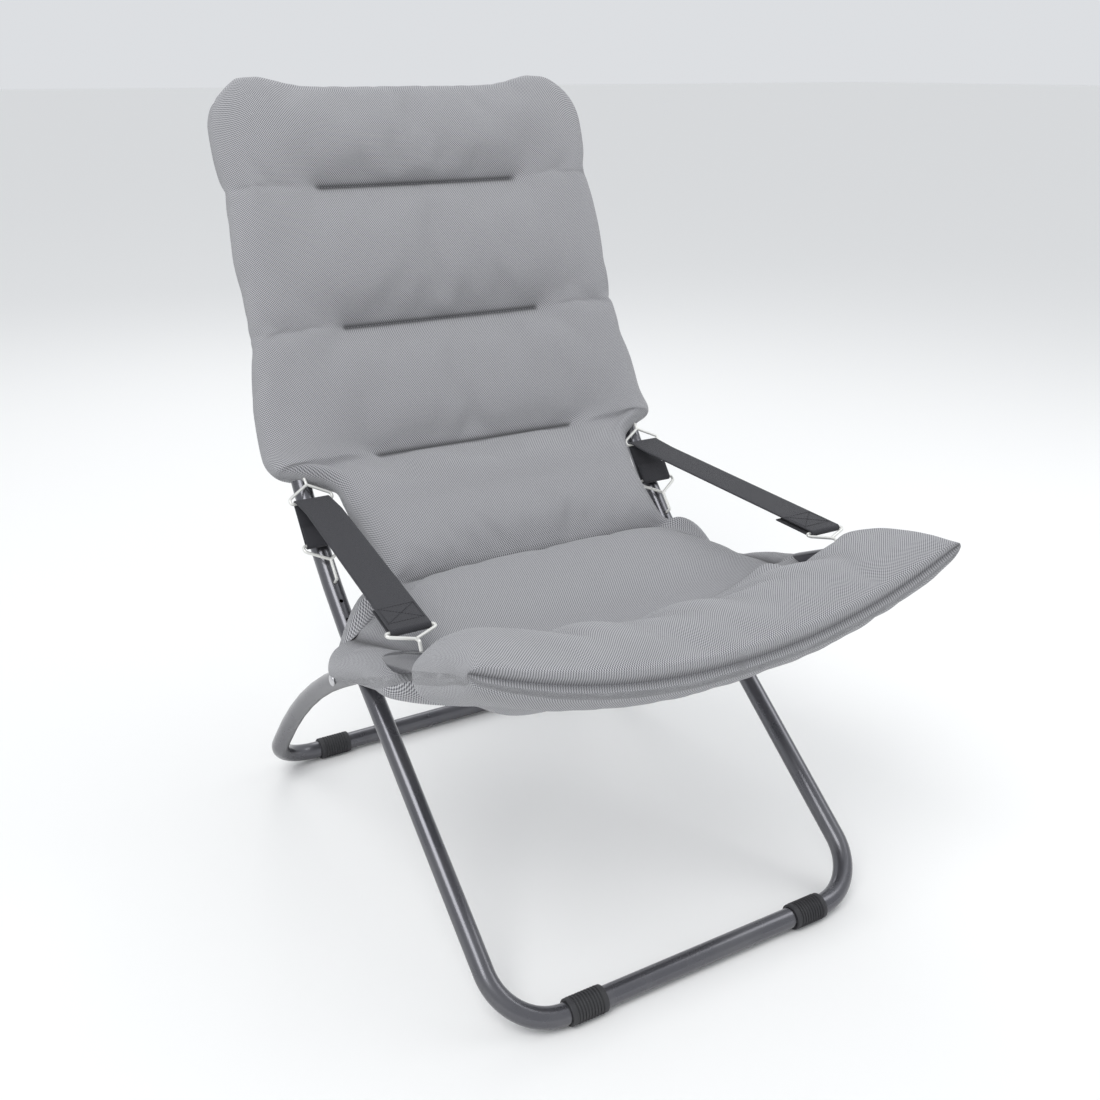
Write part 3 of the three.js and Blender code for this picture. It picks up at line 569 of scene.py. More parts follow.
RIVET, FIT = 0.004, 0.0004
rivet_in, rivet_out = BACK_X - TUBE_RADIUS - FIT, SEAT_X + TUBE_RADIUS + FIT
dome = [(0.0075 * math.cos(a), 0.003 * math.sin(a)) for a in np.linspace(0, math.pi / 2, 7)]
for label, side in SIDES.items():
    head = [(r, side * (rivet_out + h)) for r, h in dome]
    tail = [(r, side * (rivet_in - h)) for r, h in dome[::-1]]
    shank = [(RIVET, side * rivet_in), (RIVET, side * rivet_out)]
    rivet = turned(f"rivet_{label}", [*tail, *shank, *head])
    bore, rim = RIVET + FIT, 0.011
    low, high = side * (BACK_X + TUBE_RADIUS + FIT), side * (SEAT_X - TUBE_RADIUS - FIT)
    washer = turned(f"washer_{label}", [(bore, low), (rim, low), (rim, high), (bore, high)])
    for piece in (rivet, washer):
        piece.data.transform(Matrix.Translation((0, PIVOT.y, PIVOT.z)))
    stand_for(rivet, f"pivot_rivet_{label}", "back_frame", steel)
    stand_for(washer, f"pivot_washer_{label}", "back_frame", nylon)

# %% The rib tree: rings in a row along a sleeve
rib_tree, inside, outside = geometry_tree("ribs_on_a_sleeve", [
    ("Ring radius", "NodeSocketFloat"), ("Rib radius", "NodeSocketFloat"),
    ("Spacing", "NodeSocketFloat"), ("Count", "NodeSocketInt"), ("Material", "NodeSocketMaterial")])
given = inside.outputs
half_span = math_node(rib_tree, "MULTIPLY_ADD", given["Count"], -0.5, 0.5)
first_x = math_node(rib_tree, "MULTIPLY", half_span, given["Spacing"])
start_at = add_node(rib_tree, "ShaderNodeCombineXYZ", {"X": first_x}).outputs[0]
offset = add_node(rib_tree, "ShaderNodeCombineXYZ", {"X": given["Spacing"]}).outputs[0]
row = add_node(rib_tree, "GeometryNodeMeshLine", {
    "Count": given["Count"], "Start Location": start_at, "Offset": offset}, mode="OFFSET")
hoop, section = (
    add_node(rib_tree, "GeometryNodeCurvePrimitiveCircle", {"Resolution": sides, "Radius": given[radius]})
    for sides, radius in ((40, "Ring radius"), (6, "Rib radius")))
rib = add_node(rib_tree, "GeometryNodeCurveToMesh", {
    "Curve": hoop.outputs[0], "Profile Curve": section.outputs[0]})
turn = add_node(rib_tree, "GeometryNodeTransform", {
    "Geometry": rib.outputs[0], "Rotation": (0, math.pi / 2, 0)})
placed = add_node(rib_tree, "GeometryNodeInstanceOnPoints", {
    "Points": row.outputs[0], "Instance": turn.outputs[0]})
both = add_node(rib_tree, "GeometryNodeJoinGeometry", {0: placed.outputs[0]})
rib_tree.links.new(given[0], both.inputs[0])
end_tree(rib_tree, both.outputs[0], inside, outside)

# %% Make the four feet
FOOT_HALF, FOOT_RADIUS = 0.024, 0.0158
bore = TUBE_RADIUS + 0.0003
sleeve_profile = [
    (bore, -FOOT_HALF), (FOOT_RADIUS - 0.0008, -FOOT_HALF), (FOOT_RADIUS, -FOOT_HALF + 0.001),
    (FOOT_RADIUS, -FOOT_HALF + 0.005), (FOOT_RADIUS - 0.0012, -FOOT_HALF + 0.006),
    (FOOT_RADIUS - 0.0012, FOOT_HALF - 0.006), (FOOT_RADIUS, FOOT_HALF - 0.005),
    (FOOT_RADIUS, FOOT_HALF - 0.001), (FOOT_RADIUS - 0.0008, FOOT_HALF), (bore, FOOT_HALF),
]
for node, body in (("front_foot", "back_frame"), ("rear_foot", "seat_frame")):
    for label in SIDES:
        low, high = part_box(f"{node}_{label}")
        sleeve = turned(f"{node}_{label}_sleeve", sleeve_profile, 64)
        grow(sleeve, rib_tree, ring_radius=FOOT_RADIUS - 0.0010, rib_radius=0.0014,
             spacing=0.0040, count=10, material=rubber)
        foot = keep_result(f"{node}_{label}_ribbed", sleeve)
        middle = (low + high) / 2
        foot.data.transform(Matrix.Translation((middle.x, middle.y, BAR_Z)))
        for v in foot.data.vertices:
            v.co.z = max(v.co.z, 0.0)
        foot.data.set_sharp_from_angle(angle=math.radians(50))
        stand_for(foot, f"{node}_{label}", body, rubber)
print("feet stand at", round(min(v.co.z for v in foot.data.vertices), 5))

# %% [markdown]
# ## Wire fittings
# A ring at each end of the armrest and an adjuster hook are the same thing in three sizes:
# a bar that carries the strap, two legs that close into a neck, and a stem that plugs into
# a hole of the tube.

# %% Bend the wires
def wire_fitting(name, line, plan, x, node, body):
    bar = beside(line, *plan["bar"], x)
    neck = beside(line, *plan["neck"], x)
    elbow = beside(line, plan["stem"], plan["neck"][1] - 0.002, x)
    tip = beside(line, plan["stem"], plan["tip"], x)
    right, shoulder = Vector((RING_HALF, 0, 0)), bar.lerp(neck, 0.3)
    loop = rounded([
        (bar - right, 0.003), (bar + right, 0.003), (shoulder + right, 0.005),
        (neck, 0.0025), (shoulder - right, 0.005),
    ], closed=True, turn_step=math.radians(12))
    stem = rounded([(neck, 0), (elbow, 0.0015), (tip, 0)], turn_step=math.radians(12))
    source = lines_mesh(name + "_line", (loop, True), (stem, False))
    grow(source, sweep_tree, radius=WIRE_RADIUS, sides=14, closed_ends=True, material=wire_coat)
    made = keep_result(name, source)
    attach(made, body)
    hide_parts(node)
    return made


for label, side in SIDES.items():
    wire_fitting(f"ring_wire_{label}", rail_line, RING, side * SEAT_X, f"front_ring_{label}", "seat_frame")
    wire_fitting(f"guide_wire_{label}", back_line, GUIDE, side * BACK_X, f"strap_guide_{label}", "back_frame")
    wire_fitting(
        f"hook_wire_{label}", back_line, HOOK, side * BACK_X, f"adjuster_hook_{label}", f"{label}_hook")
print("wire fittings", 6)

# %% [markdown]
# ## Straps
# A strap is flat webbing with softly rounded edges. It is doubled under the front ring,
# runs straight back over the guide, and hangs down to the adjuster hook, where it is
# doubled again. The run and the tail are two pieces that meet in the fold over the guide.

# %% Lay the webbing along its line
STRAP_HALF, STRAP_THICK = 0.024, 0.002
TAB, TAIL_TAB = 0.058, 0.024  # how far each end is doubled back


def webbing_piece(name, line, slant):
    """Flat webbing along a side-view line; slant(y) gives the x of its middle."""
    count, across, points, faces, uvs = len(line), 16, [], [], []
    marks = Path(line).marks
    ring = [(-1, 0.25), *[(v, 1) for v in np.linspace(-0.97, 0.97, across)], (1, 0.25),
            (1, -0.25), *[(v, -1) for v in np.linspace(0.97, -0.97, across)], (-1, -0.25)]
    size = len(ring)
    for i, place in enumerate(line):
        before, after = line[max(i - 1, 0)], line[min(i + 1, count - 1)]
        t = (after - before).normalized()
        normal = Vector((0, -t.z, t.y))
        for v, w in ring:
            p = place + normal * (w * STRAP_THICK / 2)
            points.append((slant(place.y) + v * STRAP_HALF, p.y, p.z))
            uvs.append((v * STRAP_HALF + (0.1 if w < 0 else 0), marks[i]))
    for i in range(count - 1):
        for k in range(size):
            a, b = i * size + k, i * size + (k + 1) % size
            faces.append((a, b, b + size, a + size))
    faces.append(tuple(range(size))[::-1])
    faces.append(tuple(range((count - 1) * size, count * size)))
    made = mesh_from(name, points, faces)
    layer = made.data.uv_layers.new(name="cloth")
    for loop in made.data.loops:
        layer.data[loop.index].uv = uvs[loop.vertex_index]
    turn_outward(made.data)
    made.data.shade_smooth()
    made.data.set_sharp_from_angle(angle=math.radians(50))
    made.data.materials.append(webbing)
    return made


wrap = WIRE_RADIUS + FIT + STRAP_THICK / 2
front_bar, guide_bar = beside(rail_line, *RING["bar"], 0), beside(back_line, *GUIDE["bar"], 0)
hook_bar = beside(back_line, *HOOK["bar"], 0)
run = (guide_bar - front_bar).normalized()
lift = Vector((0, -run.z, run.y))
drop = (hook_bar - guide_bar).normalized()
away = Vector((0, drop.z, -drop.y))
fold_out = wrap / (1 - lift.dot(away))
fold_at = guide_bar + lift * fold_out - away * fold_out
bend = wrap - 0.0001
corners = [
    (front_bar + run * TAB - lift * wrap, 0), (front_bar - run * wrap - lift * wrap, bend),
    (front_bar - run * wrap + lift * wrap, bend), (fold_at, bend),
    (hook_bar + drop * wrap - away * wrap, bend), (hook_bar + drop * wrap + away * wrap, bend),
    (hook_bar - drop * TAIL_TAB + away * wrap, 0),
]
strap_line = Path(rounded(corners, turn_step=math.radians(15)))
fold_mark = strap_line.nearest(guide_bar)
slant_from = hook_bar.y - 2 * wrap


def strap_points(start, end, step=0.006):
    """Close points from one distance to another, with the line's own kept."""
    inside_marks = strap_line.marks[(strap_line.marks > start) & (strap_line.marks < end)]
    even = np.arange(start, end, step)
    marks = np.unique(np.round(np.concatenate([[start, end], inside_marks, even]), 5))
    keep = np.concatenate([[True], np.diff(marks) > 0.0003])
    return [strap_line.at(s) for s in marks[keep]]


def strap_x(side):
    def slant(y):
        forward = min(max((slant_from - y) / (slant_from - front_bar.y), 0), 1)
        return side * (BACK_X + (SEAT_X - BACK_X) * forward)
    return slant


straps = {}
for label, side in SIDES.items():
    long_run = webbing_piece(f"strap_run_{label}", strap_points(0, fold_mark), strap_x(side))
    tail = webbing_piece(f"strap_tail_{label}", strap_points(fold_mark, strap_line.length), strap_x(side))
    straps[label] = (long_run, tail)
print("strap is", round(strap_line.length, 3), "m long, fold at", round(fold_mark, 3))

# %% [markdown]
# ## The padded cover
# The real cover is one sewn bag of wadding: a back with three sewn channels, a hip part
# that narrows between the straps, and a seat whose front hem wraps the bowed bar. A closed
# sheet is laid out on a lattice first, with its sewn lines pinched thin. Cloth simulation
# then inflates it with the sewn lines held, which gives the folds that start at the ends
# of the channels. Each row of the lattice is one place along the cover, from the top of
# the back to the front hem, so seams are still easy to find afterwards.

# %% Centre line of the cover in the side view
def from_bar(y, z):
    """A side-view place: millimetres behind the front ground bar, and above the ground."""
    return Vector((0, FRONT_BAR_Y + y / 1000, z / 1000))


def step_up(value, low, high):
    t = np.clip((np.asarray(value, float) - low) / (high - low), 0, 1)
    return t * t * (3 - 2 * t)


BACK_TOP, CHANNELS = 0.806, (0.668, 0.474, 0.281)
back_marks = np.arange(BACK_TOP, CHANNELS[-1] + 0.01, -0.02)
rough_line = [beside(back_line, s, 0.004, 0) for s in back_marks]
rough_line += [from_bar(*p) for p in (
    (516, 490), (478, 452), (432, 424), (400, 408), (382, 398), (350, 386), (300, 376),
    (255, 364), (215, 347), (180, 341), (140, 353), (100, 378), (60, 402), (20, 412), (-12, 415),
    (-34, 417))]
rough = Path(rough_line)
even = np.arange(0, rough.length + 0.001, 0.002)
line_yz = np.array([tuple(rough.at(s))[1:] for s in even])
kernel = np.exp(-(np.arange(-12, 13) / 6.0) ** 2)
kernel /= kernel.sum()
padded_yz = np.concatenate([
    2 * line_yz[0] - line_yz[12:0:-1], line_yz, 2 * line_yz[-1] - line_yz[-2:-14:-1]])
smooth_yz = np.stack([np.convolve(padded_yz[:, k], kernel, "valid") for k in range(2)], 1)
centre = Path([(0, y, z) for y, z in smooth_yz])


def mark_of_y(y_mm):
    """How far along the cover the place is that lies that many millimetres behind the bar."""
    target = FRONT_BAR_Y + y_mm / 1000
    return float(np.interp(-target, -centre.array[:, 1], centre.marks))


def mark_of_back(s):
    return float(centre.nearest(tuple(beside(back_line, s, 0.004, 0))))


channel_marks = [mark_of_back(s) for s in CHANNELS]
crease_mark = mark_of_y(383)
print("cover is", round(centre.length, 3), "m long, channels at", [round(m, 3) for m in channel_marks],
      "crease at", round(crease_mark, 3))

# %% Rows and columns of the lattice
END_ROUND = {"top": 0.022, "front": 0.034}
row_marks = list(np.arange(0, centre.length, 0.0062)) + [centre.length]
for mark in (*channel_marks, crease_mark):
    row_marks = [m for m in row_marks if abs(m - mark) > 0.011]
    row_marks += [mark + d for d in (-0.0085, -0.0045, -0.0018, 0, 0.0018, 0.0045, 0.0085)]
row_marks += [centre.length - d for d in (0.0008, 0.0024, 0.0042)] + [0.0008, 0.0024, 0.0042]
row_marks = np.array(sorted(row_marks))
row_marks = row_marks[np.concatenate([[True], np.diff(row_marks) > 0.0006])]
even_v = np.linspace(-1, 1, 99)
column_v = 0.72 * even_v + 0.28 * np.sin(even_v * math.pi / 2)
rows, columns = len(row_marks), len(column_v)


def along_table(pairs):
    """A value for each row from (mark, value) pairs, eased between them."""
    marks, values = zip(*sorted(pairs))
    return np.interp(row_marks, marks, values)


seat_y = mark_of_y
half_width = along_table([
    (0.0, 0.268), (0.010, 0.277), (0.03, 0.283), (0.09, 0.284),
    (channel_marks[0], 0.281), (mark_of_back(0.58), 0.288), (channel_marks[1], 0.286),
    (mark_of_back(0.38), 0.299), (channel_marks[2] - 0.014, 0.301), (channel_marks[2], 0.290),
    (channel_marks[2] + 0.012, 0.270), (channel_marks[2] + 0.026, 0.242),
    (channel_marks[2] + 0.040, 0.224), (seat_y(432), 0.214), (seat_y(398), 0.208),
    (seat_y(390), 0.216), (seat_y(380), 0.246), (seat_y(368), 0.280), (seat_y(352), 0.300),
    (seat_y(332), 0.308), (seat_y(190), 0.308), (seat_y(180), 0.302), (seat_y(175), 0.276),
    (seat_y(170), 0.244), (seat_y(162), 0.234), (seat_y(142), 0.233), (seat_y(134), 0.243),
    (seat_y(129), 0.274), (seat_y(123), 0.300), (seat_y(112), 0.310), (seat_y(40), 0.314),
    (seat_y(0), 0.318), (centre.length - 0.004, 0.322), (centre.length, 0.322)])
soften = np.exp(-(np.arange(-3, 4) / 1.5) ** 2)
half_width = np.convolve(np.pad(half_width, 3, mode="edge"), soften / soften.sum(), "valid")
thick_middle = along_table([
    (0.0, 0.040), (0.05, 0.050), (channel_marks[2], 0.050), (seat_y(440), 0.044),
    (crease_mark, 0.038), (seat_y(340), 0.036), (seat_y(180), 0.036), (seat_y(110), 0.050),
    (seat_y(50), 0.054), (centre.length, 0.052)])
thick_edge = along_table([
    (0.0, 0.032), (0.05, 0.038), (channel_marks[2], 0.038), (seat_y(440), 0.026),
    (crease_mark, 0.030), (seat_y(365), 0.050), (seat_y(200), 0.054), (seat_y(175), 0.044),
    (seat_y(150), 0.030), (seat_y(132), 0.050), (seat_y(110), 0.064), (seat_y(50), 0.056),
    (centre.length, 0.026)])
print("lattice", rows, "by", columns)

# %% Middle surface of the cover
row_places = np.array([tuple(centre.at(m)) for m in row_marks])
rail_y, rail_z = rail_line.array[::-1, 1], rail_line.array[::-1, 2]
rail_height = np.interp(row_places[:, 1], rail_y, rail_z)
from_bar_mm = (row_places[:, 1] - FRONT_BAR_Y) * 1000
over_rails = 1 - step_up(from_bar_mm, 346, 382)
lift_by = 0.002 + 0.011 * step_up(-from_bar_mm, -150, -110)
edge_z = row_places[:, 2] * (1 - over_rails) + (rail_height + lift_by) * over_rails
edge_power = 4.5 - 2.4 * step_up(-from_bar_mm, -230, -40)
V, R = np.meshgrid(column_v, np.arange(rows))
rise = np.abs(V) ** edge_power[R]
middle = np.zeros((rows, columns, 3))
middle[..., 0] = V * half_width[R]
middle[..., 1] = row_places[R, 1]
middle[..., 2] = row_places[R, 2] * (1 - rise) + edge_z[R] * rise
back_share = 1 - step_up(row_marks, channel_marks[2] - 0.05, channel_marks[2] + 0.05)
across_m = np.abs(middle[..., 0])
tangent = np.array([tuple(centre.tangent(m)) for m in row_marks])
ear = 0.013 * np.exp(-((across_m - 0.215) / 0.045) ** 2) - 0.022 * step_up(across_m, 0.235, 0.285)
middle -= tangent[R] * (ear * (1 - step_up(row_marks, 0.0, 0.12))[R])[..., None]
sag = 0.007 * (1 - (across_m / 0.262) ** 2).clip(0, 1) * back_share[R]
middle += np.stack([np.zeros_like(sag), sag * math.sin(BACK_ANGLE), -sag * math.cos(BACK_ANGLE)], -1)
signed_x = middle[..., 0]
front_share = np.exp(-((row_marks - seat_y(85)) / 0.055) ** 2)[R]
folds = np.sin(signed_x * 46 + 0.8) + 0.6 * np.sin(signed_x * 83 - (row_marks[R] - seat_y(60)) * 40)
middle[..., 2] += 0.0065 * folds * front_share * (1 - np.abs(V) ** 4)


# %% Thickness, with the sewn lines pinched
def channel_pinch(mark, reach, half_length, fade=0.028):
    near = np.exp(-((row_marks - mark) / reach) ** 2)[R]
    return near * (1 - step_up(across_m, half_length, half_length + fade))


CHANNEL_HALF = 0.150
pinch = sum(channel_pinch(m, 0.010, CHANNEL_HALF) for m in channel_marks)
hollow = sum(channel_pinch(m, 0.038, CHANNEL_HALF + 0.01, 0.07) for m in channel_marks)
crease = channel_pinch(crease_mark, 0.012, 0.20, 0.03)
rim = np.clip((np.abs(V) * half_width[R] - (half_width[R] - 0.020)) / 0.020, 0, 1)
rim_round = np.sqrt(1 - (0.93 * rim) ** 2)
top_round = np.sqrt(1 - (0.95 * np.clip(1 - row_marks / END_ROUND["top"], 0, 1)) ** 2)
front_gap = (centre.length - row_marks) / END_ROUND["front"]
front_round = np.sqrt(1 - (0.80 * np.clip(1 - front_gap, 0, 1)) ** 2)
spread_v = np.abs(V) ** 3
thickness = thick_middle[R] * (1 - spread_v) + thick_edge[R] * spread_v
thickness = thickness * (1 - 0.80 * pinch) * (1 - 0.22 * hollow) * (1 - 0.55 * crease)
thickness = thickness * rim_round * (top_round * front_round)[R]
d_row = np.gradient(middle, row_marks, axis=0)
d_column = np.gradient(middle, column_v, axis=1)
normal = np.cross(d_row, d_column)
normal /= np.linalg.norm(normal, axis=2, keepdims=True)
upper_share = 0.5 + 0.03 * step_up(-from_bar_mm, -80, 0)
upper = middle + normal * (thickness * upper_share[R])[..., None]
lower = middle - normal * (thickness * (1 - upper_share[R]))[..., None]
side_roll = step_up(from_bar_mm, 185, 205) * (1 - step_up(from_bar_mm, 350, 368))
slit = np.exp(-((half_width[R] - across_m - 0.034) / 0.005) ** 2) * side_roll[R]
upper -= normal * (0.010 * crease + 0.008 * slit)[..., None]
print("thickness", round(float(thickness.min()), 4), "to", round(float(thickness.max()), 4))

# %% Join the two skins round the rim
index_upper = np.arange(rows * columns).reshape(rows, columns)
index_lower = index_upper + rows * columns
vertices = np.concatenate([upper.reshape(-1, 3), lower.reshape(-1, 3)])
uv = np.stack([V * half_width[R], row_marks[R]], -1).reshape(-1, 2)
uv = np.concatenate([uv, uv + (0.8, 0)])
border = [(0, c) for c in range(columns)] + [(r, columns - 1) for r in range(1, rows)]
border += [(rows - 1, c) for c in range(columns - 2, -1, -1)] + [(r, 0) for r in range(rows - 2, 0, -1)]
RIM_STEPS = ((0.25, 0.20), (0.5, 0.26), (0.75, 0.20))  # share of the way down, and how far out
HEM_TUCK = 0.003  # the front hem's seam is drawn in this far
first, count = len(vertices), len(border)
for down, out in RIM_STEPS:
    ring, ring_uv = [], []
    for r, c in border:
        a, b = upper[r, c], lower[r, c]
        outward = np.array([column_v[c] if c in (0, columns - 1) else 0.0, 0, 0])
        if r in (0, rows - 1):
            outward = outward + tangent[r] * (1 if r else -1)
        outward /= max(np.linalg.norm(outward), 1e-9)
        reach = out * np.linalg.norm(a - b)
        if r == rows - 1:
            reach = -HEM_TUCK if down == 0.5 else (1.1 if down > 0.5 else 0.7) * reach
        ring.append(a + (b - a) * down + outward * reach)
        slip = 0.03 * down
        u = column_v[c] * half_width[r] + np.sign(column_v[c]) * slip
        ring_uv.append((u, row_marks[r] + slip * (r == rows - 1)))
    vertices = np.concatenate([vertices, ring])
    uv = np.concatenate([uv, ring_uv])
faces = []
for r in range(rows - 1):
    for c in range(columns - 1):
        for skin, turn_round in ((index_upper, ((0, 0), (1, 0), (1, 1), (0, 1))),
                                 (index_lower, ((0, 0), (0, 1), (1, 1), (1, 0)))):
            faces.append([skin[r + i, c + j] for i, j in turn_round])
for k, (r, c) in enumerate(border):
    after = (k + 1) % count
    r2, c2 = border[after]
    here = [index_upper[r, c], *[first + n * count + k for n in range(3)], index_lower[r, c]]
    there = [index_upper[r2, c2], *[first + n * count + after for n in range(3)], index_lower[r2, c2]]
    faces += [(here[n], there[n], there[n + 1], here[n + 1]) for n in range(4)]
faces = [tuple(int(i) for i in f) for f in faces]
cover = mesh_from("padded_cover", vertices, faces)
layer = cover.data.uv_layers.new(name="cloth")
loop_vertex = np.zeros(len(cover.data.loops), np.int32)
cover.data.loops.foreach_get("vertex_index", loop_vertex)
layer.data.foreach_set("uv", uv[loop_vertex].astype(np.float32).ravel())
turn_outward(cover.data)
print("cover has", len(cover.data.vertices), "vertices")

# %% Which places are sewn, and so held still while the cover fills
def for_every_point(grid):
    """A lattice value for both skins and for each ring of the rim."""
    round_rim = np.array([grid[r, c] for r, c in border])
    return np.concatenate([grid.ravel()] * 2 + [round_rim] * len(RIM_STEPS))


all_marks, all_across = for_every_point(row_marks[R]), for_every_point(across_m)
hem_seam = np.zeros(len(all_marks), bool)
hem_seam[first + count:first + 2 * count] = [r == rows - 1 for r, c in border]
held = np.zeros(len(all_marks))
for mark in channel_marks:
    held = np.maximum(held, (np.abs(all_marks - mark) < 0.003) * (all_across < CHANNEL_HALF + 0.004))
held = np.maximum(held, (np.abs(all_marks - crease_mark) < 0.003) * (all_across < 0.21))
all_slit = np.concatenate([slit.ravel(), np.zeros(len(all_marks) - slit.size)])
held = np.maximum(held, hem_seam | (all_slit > 0.6))
held = np.maximum(held, 0.5 * (all_marks > centre.length - 0.002))
held = np.maximum(held, 0.35 * (all_marks < 0.001))
group = cover.vertex_groups.new(name="sewn")
for level in (0.35, 0.5, 1.0):
    chosen = np.flatnonzero(np.abs(held - level) < 0.01)
    group.add([int(i) for i in chosen], level, "REPLACE")


# %% Fill the cover: cloth under pressure, with the move capped
def even_out(obj, places, freedom, rounds=3):
    """Moves each free point halfway to the middle of its neighbours, a few times."""
    ends = np.zeros(len(obj.data.edges) * 2, np.int32)
    obj.data.edges.foreach_get("vertices", ends)
    a, b = ends.reshape(-1, 2).T
    number = np.bincount(np.concatenate([a, b]), minlength=len(places))[:, None]
    for _ in range(rounds):
        total = np.zeros_like(places)
        np.add.at(total, a, places[b])
        np.add.at(total, b, places[a])
        places = places + 0.5 * freedom[:, None] * (total / number - places)
    return places


def fill_with_wadding(obj, pressure=4.0, frames=20, cap=0.014):
    rest = np.zeros(len(obj.data.vertices) * 3, np.float32)
    obj.data.vertices.foreach_get("co", rest)
    rest = rest.reshape(-1, 3)
    cloth = obj.modifiers.new("filling", "CLOTH")
    settings = cloth.settings
    settings.quality = 5
    settings.mass = 0.25
    settings.use_pressure = True
    settings.uniform_pressure_force = pressure
    settings.effector_weights.gravity = 0
    settings.vertex_group_mass = "sewn"
    settings.pin_stiffness = 1.0
    settings.shrink_min = -0.03
    settings.tension_stiffness = settings.compression_stiffness = 12
    settings.bending_stiffness = 1.5
    cloth.collision_settings.use_collision = False
    cloth.point_cache.frame_start, cloth.point_cache.frame_end = 1, frames
    scene = bpy.context.scene
    for number in range(1, frames + 1):
        scene.frame_set(number)
    graph = bpy.context.evaluated_depsgraph_get()
    moved = np.zeros_like(rest).ravel()
    obj.evaluated_get(graph).data.vertices.foreach_get("co", moved)
    obj.modifiers.remove(cloth)
    scene.frame_set(1)
    move = moved.reshape(-1, 3) - rest
    size = np.linalg.norm(move, axis=1, keepdims=True)
    move *= cap * np.tanh(size / cap) / np.maximum(size, 1e-9)
    filled = even_out(obj, rest + move, 1 - held)
    obj.data.vertices.foreach_set("co", filled.astype(np.float32).ravel())
    obj.data.update()
    print("filled", obj.name, "largest move", round(float(size.max()), 4), "kept to", cap)


fill_with_wadding(cover)

# %% Painted shade in the sewn lines, the crease, the hem and the slit, and one subdivision
# Painted shade: the cloth's colour is darkened along the three channels, the crease, the hem seam and the
# side slit, where the puffs meet and shade falls.
shade = np.zeros(len(all_marks))
for mark in channel_marks:
    line_near = np.exp(-((all_marks - mark) / 0.0032) ** 2)
    within = 1 - step_up(all_across, CHANNEL_HALF, CHANNEL_HALF + 0.008)
    shade = np.maximum(shade, 0.85 * line_near * within)
crease_near = np.exp(-((all_marks - crease_mark) / 0.004) ** 2)
shade = np.maximum(shade, 0.55 * crease_near * (1 - step_up(all_across, 0.18, 0.21)))
shade = np.maximum(shade, np.maximum(0.5 * hem_seam, 0.75 * all_slit))
attribute = cover.data.attributes.new("seam_shade", "FLOAT", "POINT")
attribute.data.foreach_set("value", shade.astype(np.float32))
cover.vertex_groups.clear()
cover.data.materials.append(textile)
cover.data.shade_smooth()
finer = cover.modifiers.new("finer", "SUBSURF")
finer.levels = finer.render_levels = 1
cover = keep_result("padded_cover_sewn", cover)
cover.data.shade_smooth()
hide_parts("back_cushion", "hip_cushion", "seat_cushion")
print("cover", len(cover.data.polygons), "faces")

# %% [markdown]
# ## Stitches
# Sewn lines show as rows of small raised threads. One tree spaces a thread along a line
# and turns each to follow it; it is used for the cover's channels and hem and for the
# box of stitches that closes each end of a strap.

# %% The stitch tree
stitch_tree, inside, outside = geometry_tree("stitches_on_a_line", [
    ("Pitch", "NodeSocketFloat"), ("Thread radius", "NodeSocketFloat"),
    ("Stitch length", "NodeSocketFloat"), ("Material", "NodeSocketMaterial")])
given = inside.outputs
to_curve = add_node(stitch_tree, "GeometryNodeMeshToCurve", {0: given[0]}).outputs[0]
points = add_node(stitch_tree, "GeometryNodeCurveToPoints", {
    "Curve": to_curve, "Length": given["Pitch"]}, mode="LENGTH")
bead = add_node(stitch_tree, "GeometryNodeMeshUVSphere", {"Segments": 6, "Rings": 5, "Radius": 1.0})
size = add_node(stitch_tree, "ShaderNodeCombineXYZ", {
    "X": given["Thread radius"], "Y": given["Thread radius"],
    "Z": math_node(stitch_tree, "MULTIPLY", given["Stitch length"], 0.5)})
threads = add_node(stitch_tree, "GeometryNodeInstanceOnPoints", {
    "Points": points.outputs["Points"], "Rotation": points.outputs["Rotation"],
    "Instance": bead.outputs["Mesh"], "Scale": size.outputs[0]})
end_tree(stitch_tree, threads.outputs[0], inside, outside)


# %% Sew the channels, the hem and the strap ends
def on_cover(tree, points_in, direction, offset=0.0003):
    """Points dropped onto the cover along a direction, a little proud of it."""
    found = []
    for p in points_in:
        place, facing, _, _ = tree.ray_cast(Vector(p) - direction * 0.15, direction)
        if place is not None:
            found.append(place - direction * offset)
    return found


def sew(name, lines, material, body, pitch=0.0045, radius=0.00045, length=0.0034):
    source = lines_mesh(name + "_line", *[(line, closed) for line, closed in lines])
    grow(source, stitch_tree, pitch=pitch, thread_radius=radius, stitch_length=length, material=material)
    made = keep_result(name, source)
    if body:
        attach(made, body)
    return made


cover_tree = BVHTree.FromPolygons(
    [v.co for v in cover.data.vertices], [tuple(p.vertices) for p in cover.data.polygons])
into_back = Vector((0, math.sin(BACK_ANGLE), -math.cos(BACK_ANGLE)))
channel_lines = []
for mark in channel_marks:
    place = centre.at(mark)
    row = [(x, place.y, place.z) for x in np.linspace(-CHANNEL_HALF, CHANNEL_HALF, 60)]
    channel_lines.append((on_cover(cover_tree, row, into_back), False))
sew("channel_stitches", channel_lines, thread, "back_frame")
hem = [tuple(middle[-1, c]) for c in range(3, columns - 3)]
hem_line = on_cover(cover_tree, hem, Vector((0, 1, 0)))
sew("hem_stitches", [(hem_line, False)], thread, "seat_frame", pitch=0.005)
print("channel rows", [len(line) for line, _ in channel_lines], "hem", len(hem_line))
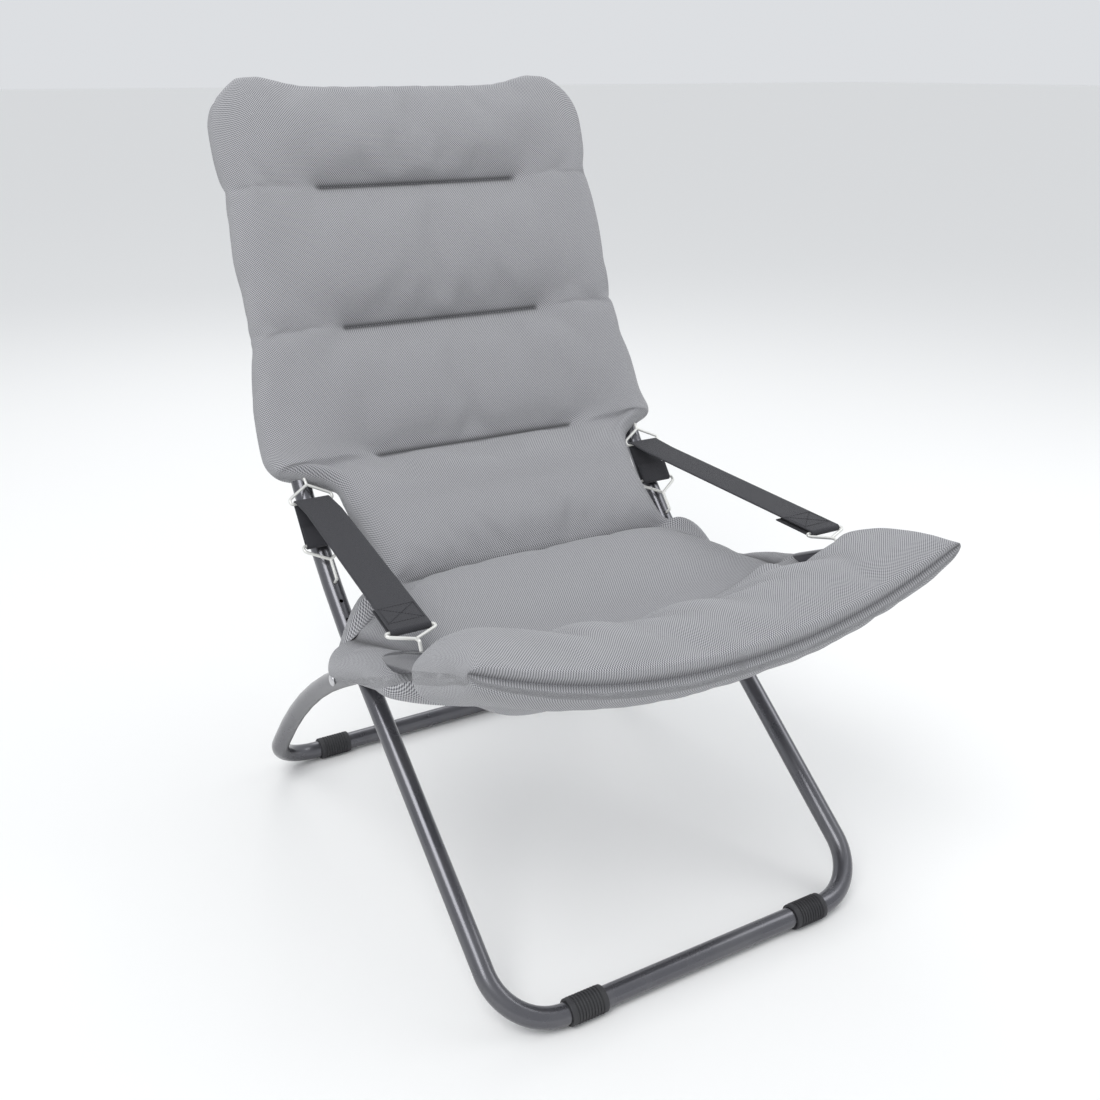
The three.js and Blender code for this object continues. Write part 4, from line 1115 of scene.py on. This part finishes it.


# %% Box stitches on the straps
def box_stitch(side, start, end, height=0.0012, inset=0.0035):
    """A sewn rectangle with its diagonals on the strap's upper face, between two marks."""
    slant = strap_x(side)
    def place(s, v):
        p, t = strap_line.at(s), strap_line.tangent(s)
        n = Vector((0, -t.z, t.y)) * height
        return Vector((slant(p.y) + v * (STRAP_HALF - inset), p.y + n.y, p.z + n.z))
    rim_line = [place(start, -1), place(end, -1), place(end, 1), place(start, 1)]
    crossing = [([place(a, -1), place(b, 1)], False) for a, b in ((start, end), (end, start))]
    return [(rim_line, True), *crossing]


for label, side in SIDES.items():
    long_run, tail = straps[label]
    first_turn = strap_line.nearest(front_bar + lift * wrap)
    box_run = sew(f"run_stitches_{label}", box_stitch(side, first_turn + 0.012, first_turn + 0.046),
                  black_thread, None, pitch=0.0032, length=0.0026)
    hook_turn = strap_line.nearest(hook_bar - away * wrap)
    box_tail = sew(f"tail_stitches_{label}", box_stitch(side, hook_turn - 0.026, hook_turn - 0.008),
                   black_thread, None, pitch=0.0032, length=0.0026)
    for piece in (long_run, box_run):
        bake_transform(piece)
    for piece in (tail, box_tail):
        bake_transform(piece)
    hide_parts(f"armrest_strap_{label}")
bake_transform(cover)

# %% [markdown]
# ## Stage, light and camera
# A plain pale floor, a large soft light above the chair's left and a weaker one from the
# right give the even light of an overcast day, with a clean highlight along each tube.

# %% Floor, lights and camera
FLOOR_HALF, FLOOR_DROP = 60, 0.0004  # metres; the floor lies this far under the feet
square = ((-1, -1), (1, -1), (1, 1), (-1, 1))
floor_corners = [(x * FLOOR_HALF, y * FLOOR_HALF, -FLOOR_DROP) for x, y in square]
floor = mesh_from("floor", floor_corners, [(0, 1, 2, 3)])
floor_paint = new_shader("pale_floor", Base_Color=(0.94, 0.94, 0.93, 1), Roughness=0.9)[0]
floor.data.materials.append(floor_paint)
floor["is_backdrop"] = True


def soft_light(name, place, aim, width, power):
    light = bpy.data.lights.new(name, "AREA")
    light.shape, light.size, light.energy = "DISK", width, power
    lamp = put_on_scene(name, light)
    lamp.location = place
    lamp.rotation_euler = (Vector(aim) - Vector(place)).to_track_quat("-Z", "Y").to_euler()
    return lamp


soft_light("sky_left", (-1.9, -1.2, 3.2), (0, 0, 0.4), 2.2, 52)
soft_light("sky_right", (2.4, -0.6, 2.4), (0, 0, 0.4), 1.8, 18)
soft_light("sky_back", (0.6, 2.6, 2.6), (0, 0, 0.5), 1.8, 15)
world = bpy.data.worlds.new("pale_sky")
world.use_nodes = True
world.node_tree.nodes["Background"].inputs["Color"].default_value = (0.90, 0.92, 0.95, 1)
world.node_tree.nodes["Background"].inputs["Strength"].default_value = 0.80
bpy.context.scene.world = world
bpy.context.scene.view_settings.view_transform = "Standard"

camera = put_on_scene("camera", bpy.data.cameras.new("camera"))
camera.location = (-0.783, -1.301, 1.008)
yaw, pitch = math.radians(30.23), math.radians(20.48)
looking = Vector((math.sin(yaw) * math.cos(pitch), math.cos(yaw) * math.cos(pitch), -math.sin(pitch)))
camera.rotation_euler = looking.to_track_quat("-Z", "Y").to_euler()
camera.data.sensor_width, camera.data.lens = 36, 40.3
camera.data.shift_x, camera.data.shift_y = 0.0236, -0.0227
bpy.context.scene.camera = camera

# %% Measure the finished size
low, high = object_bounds()
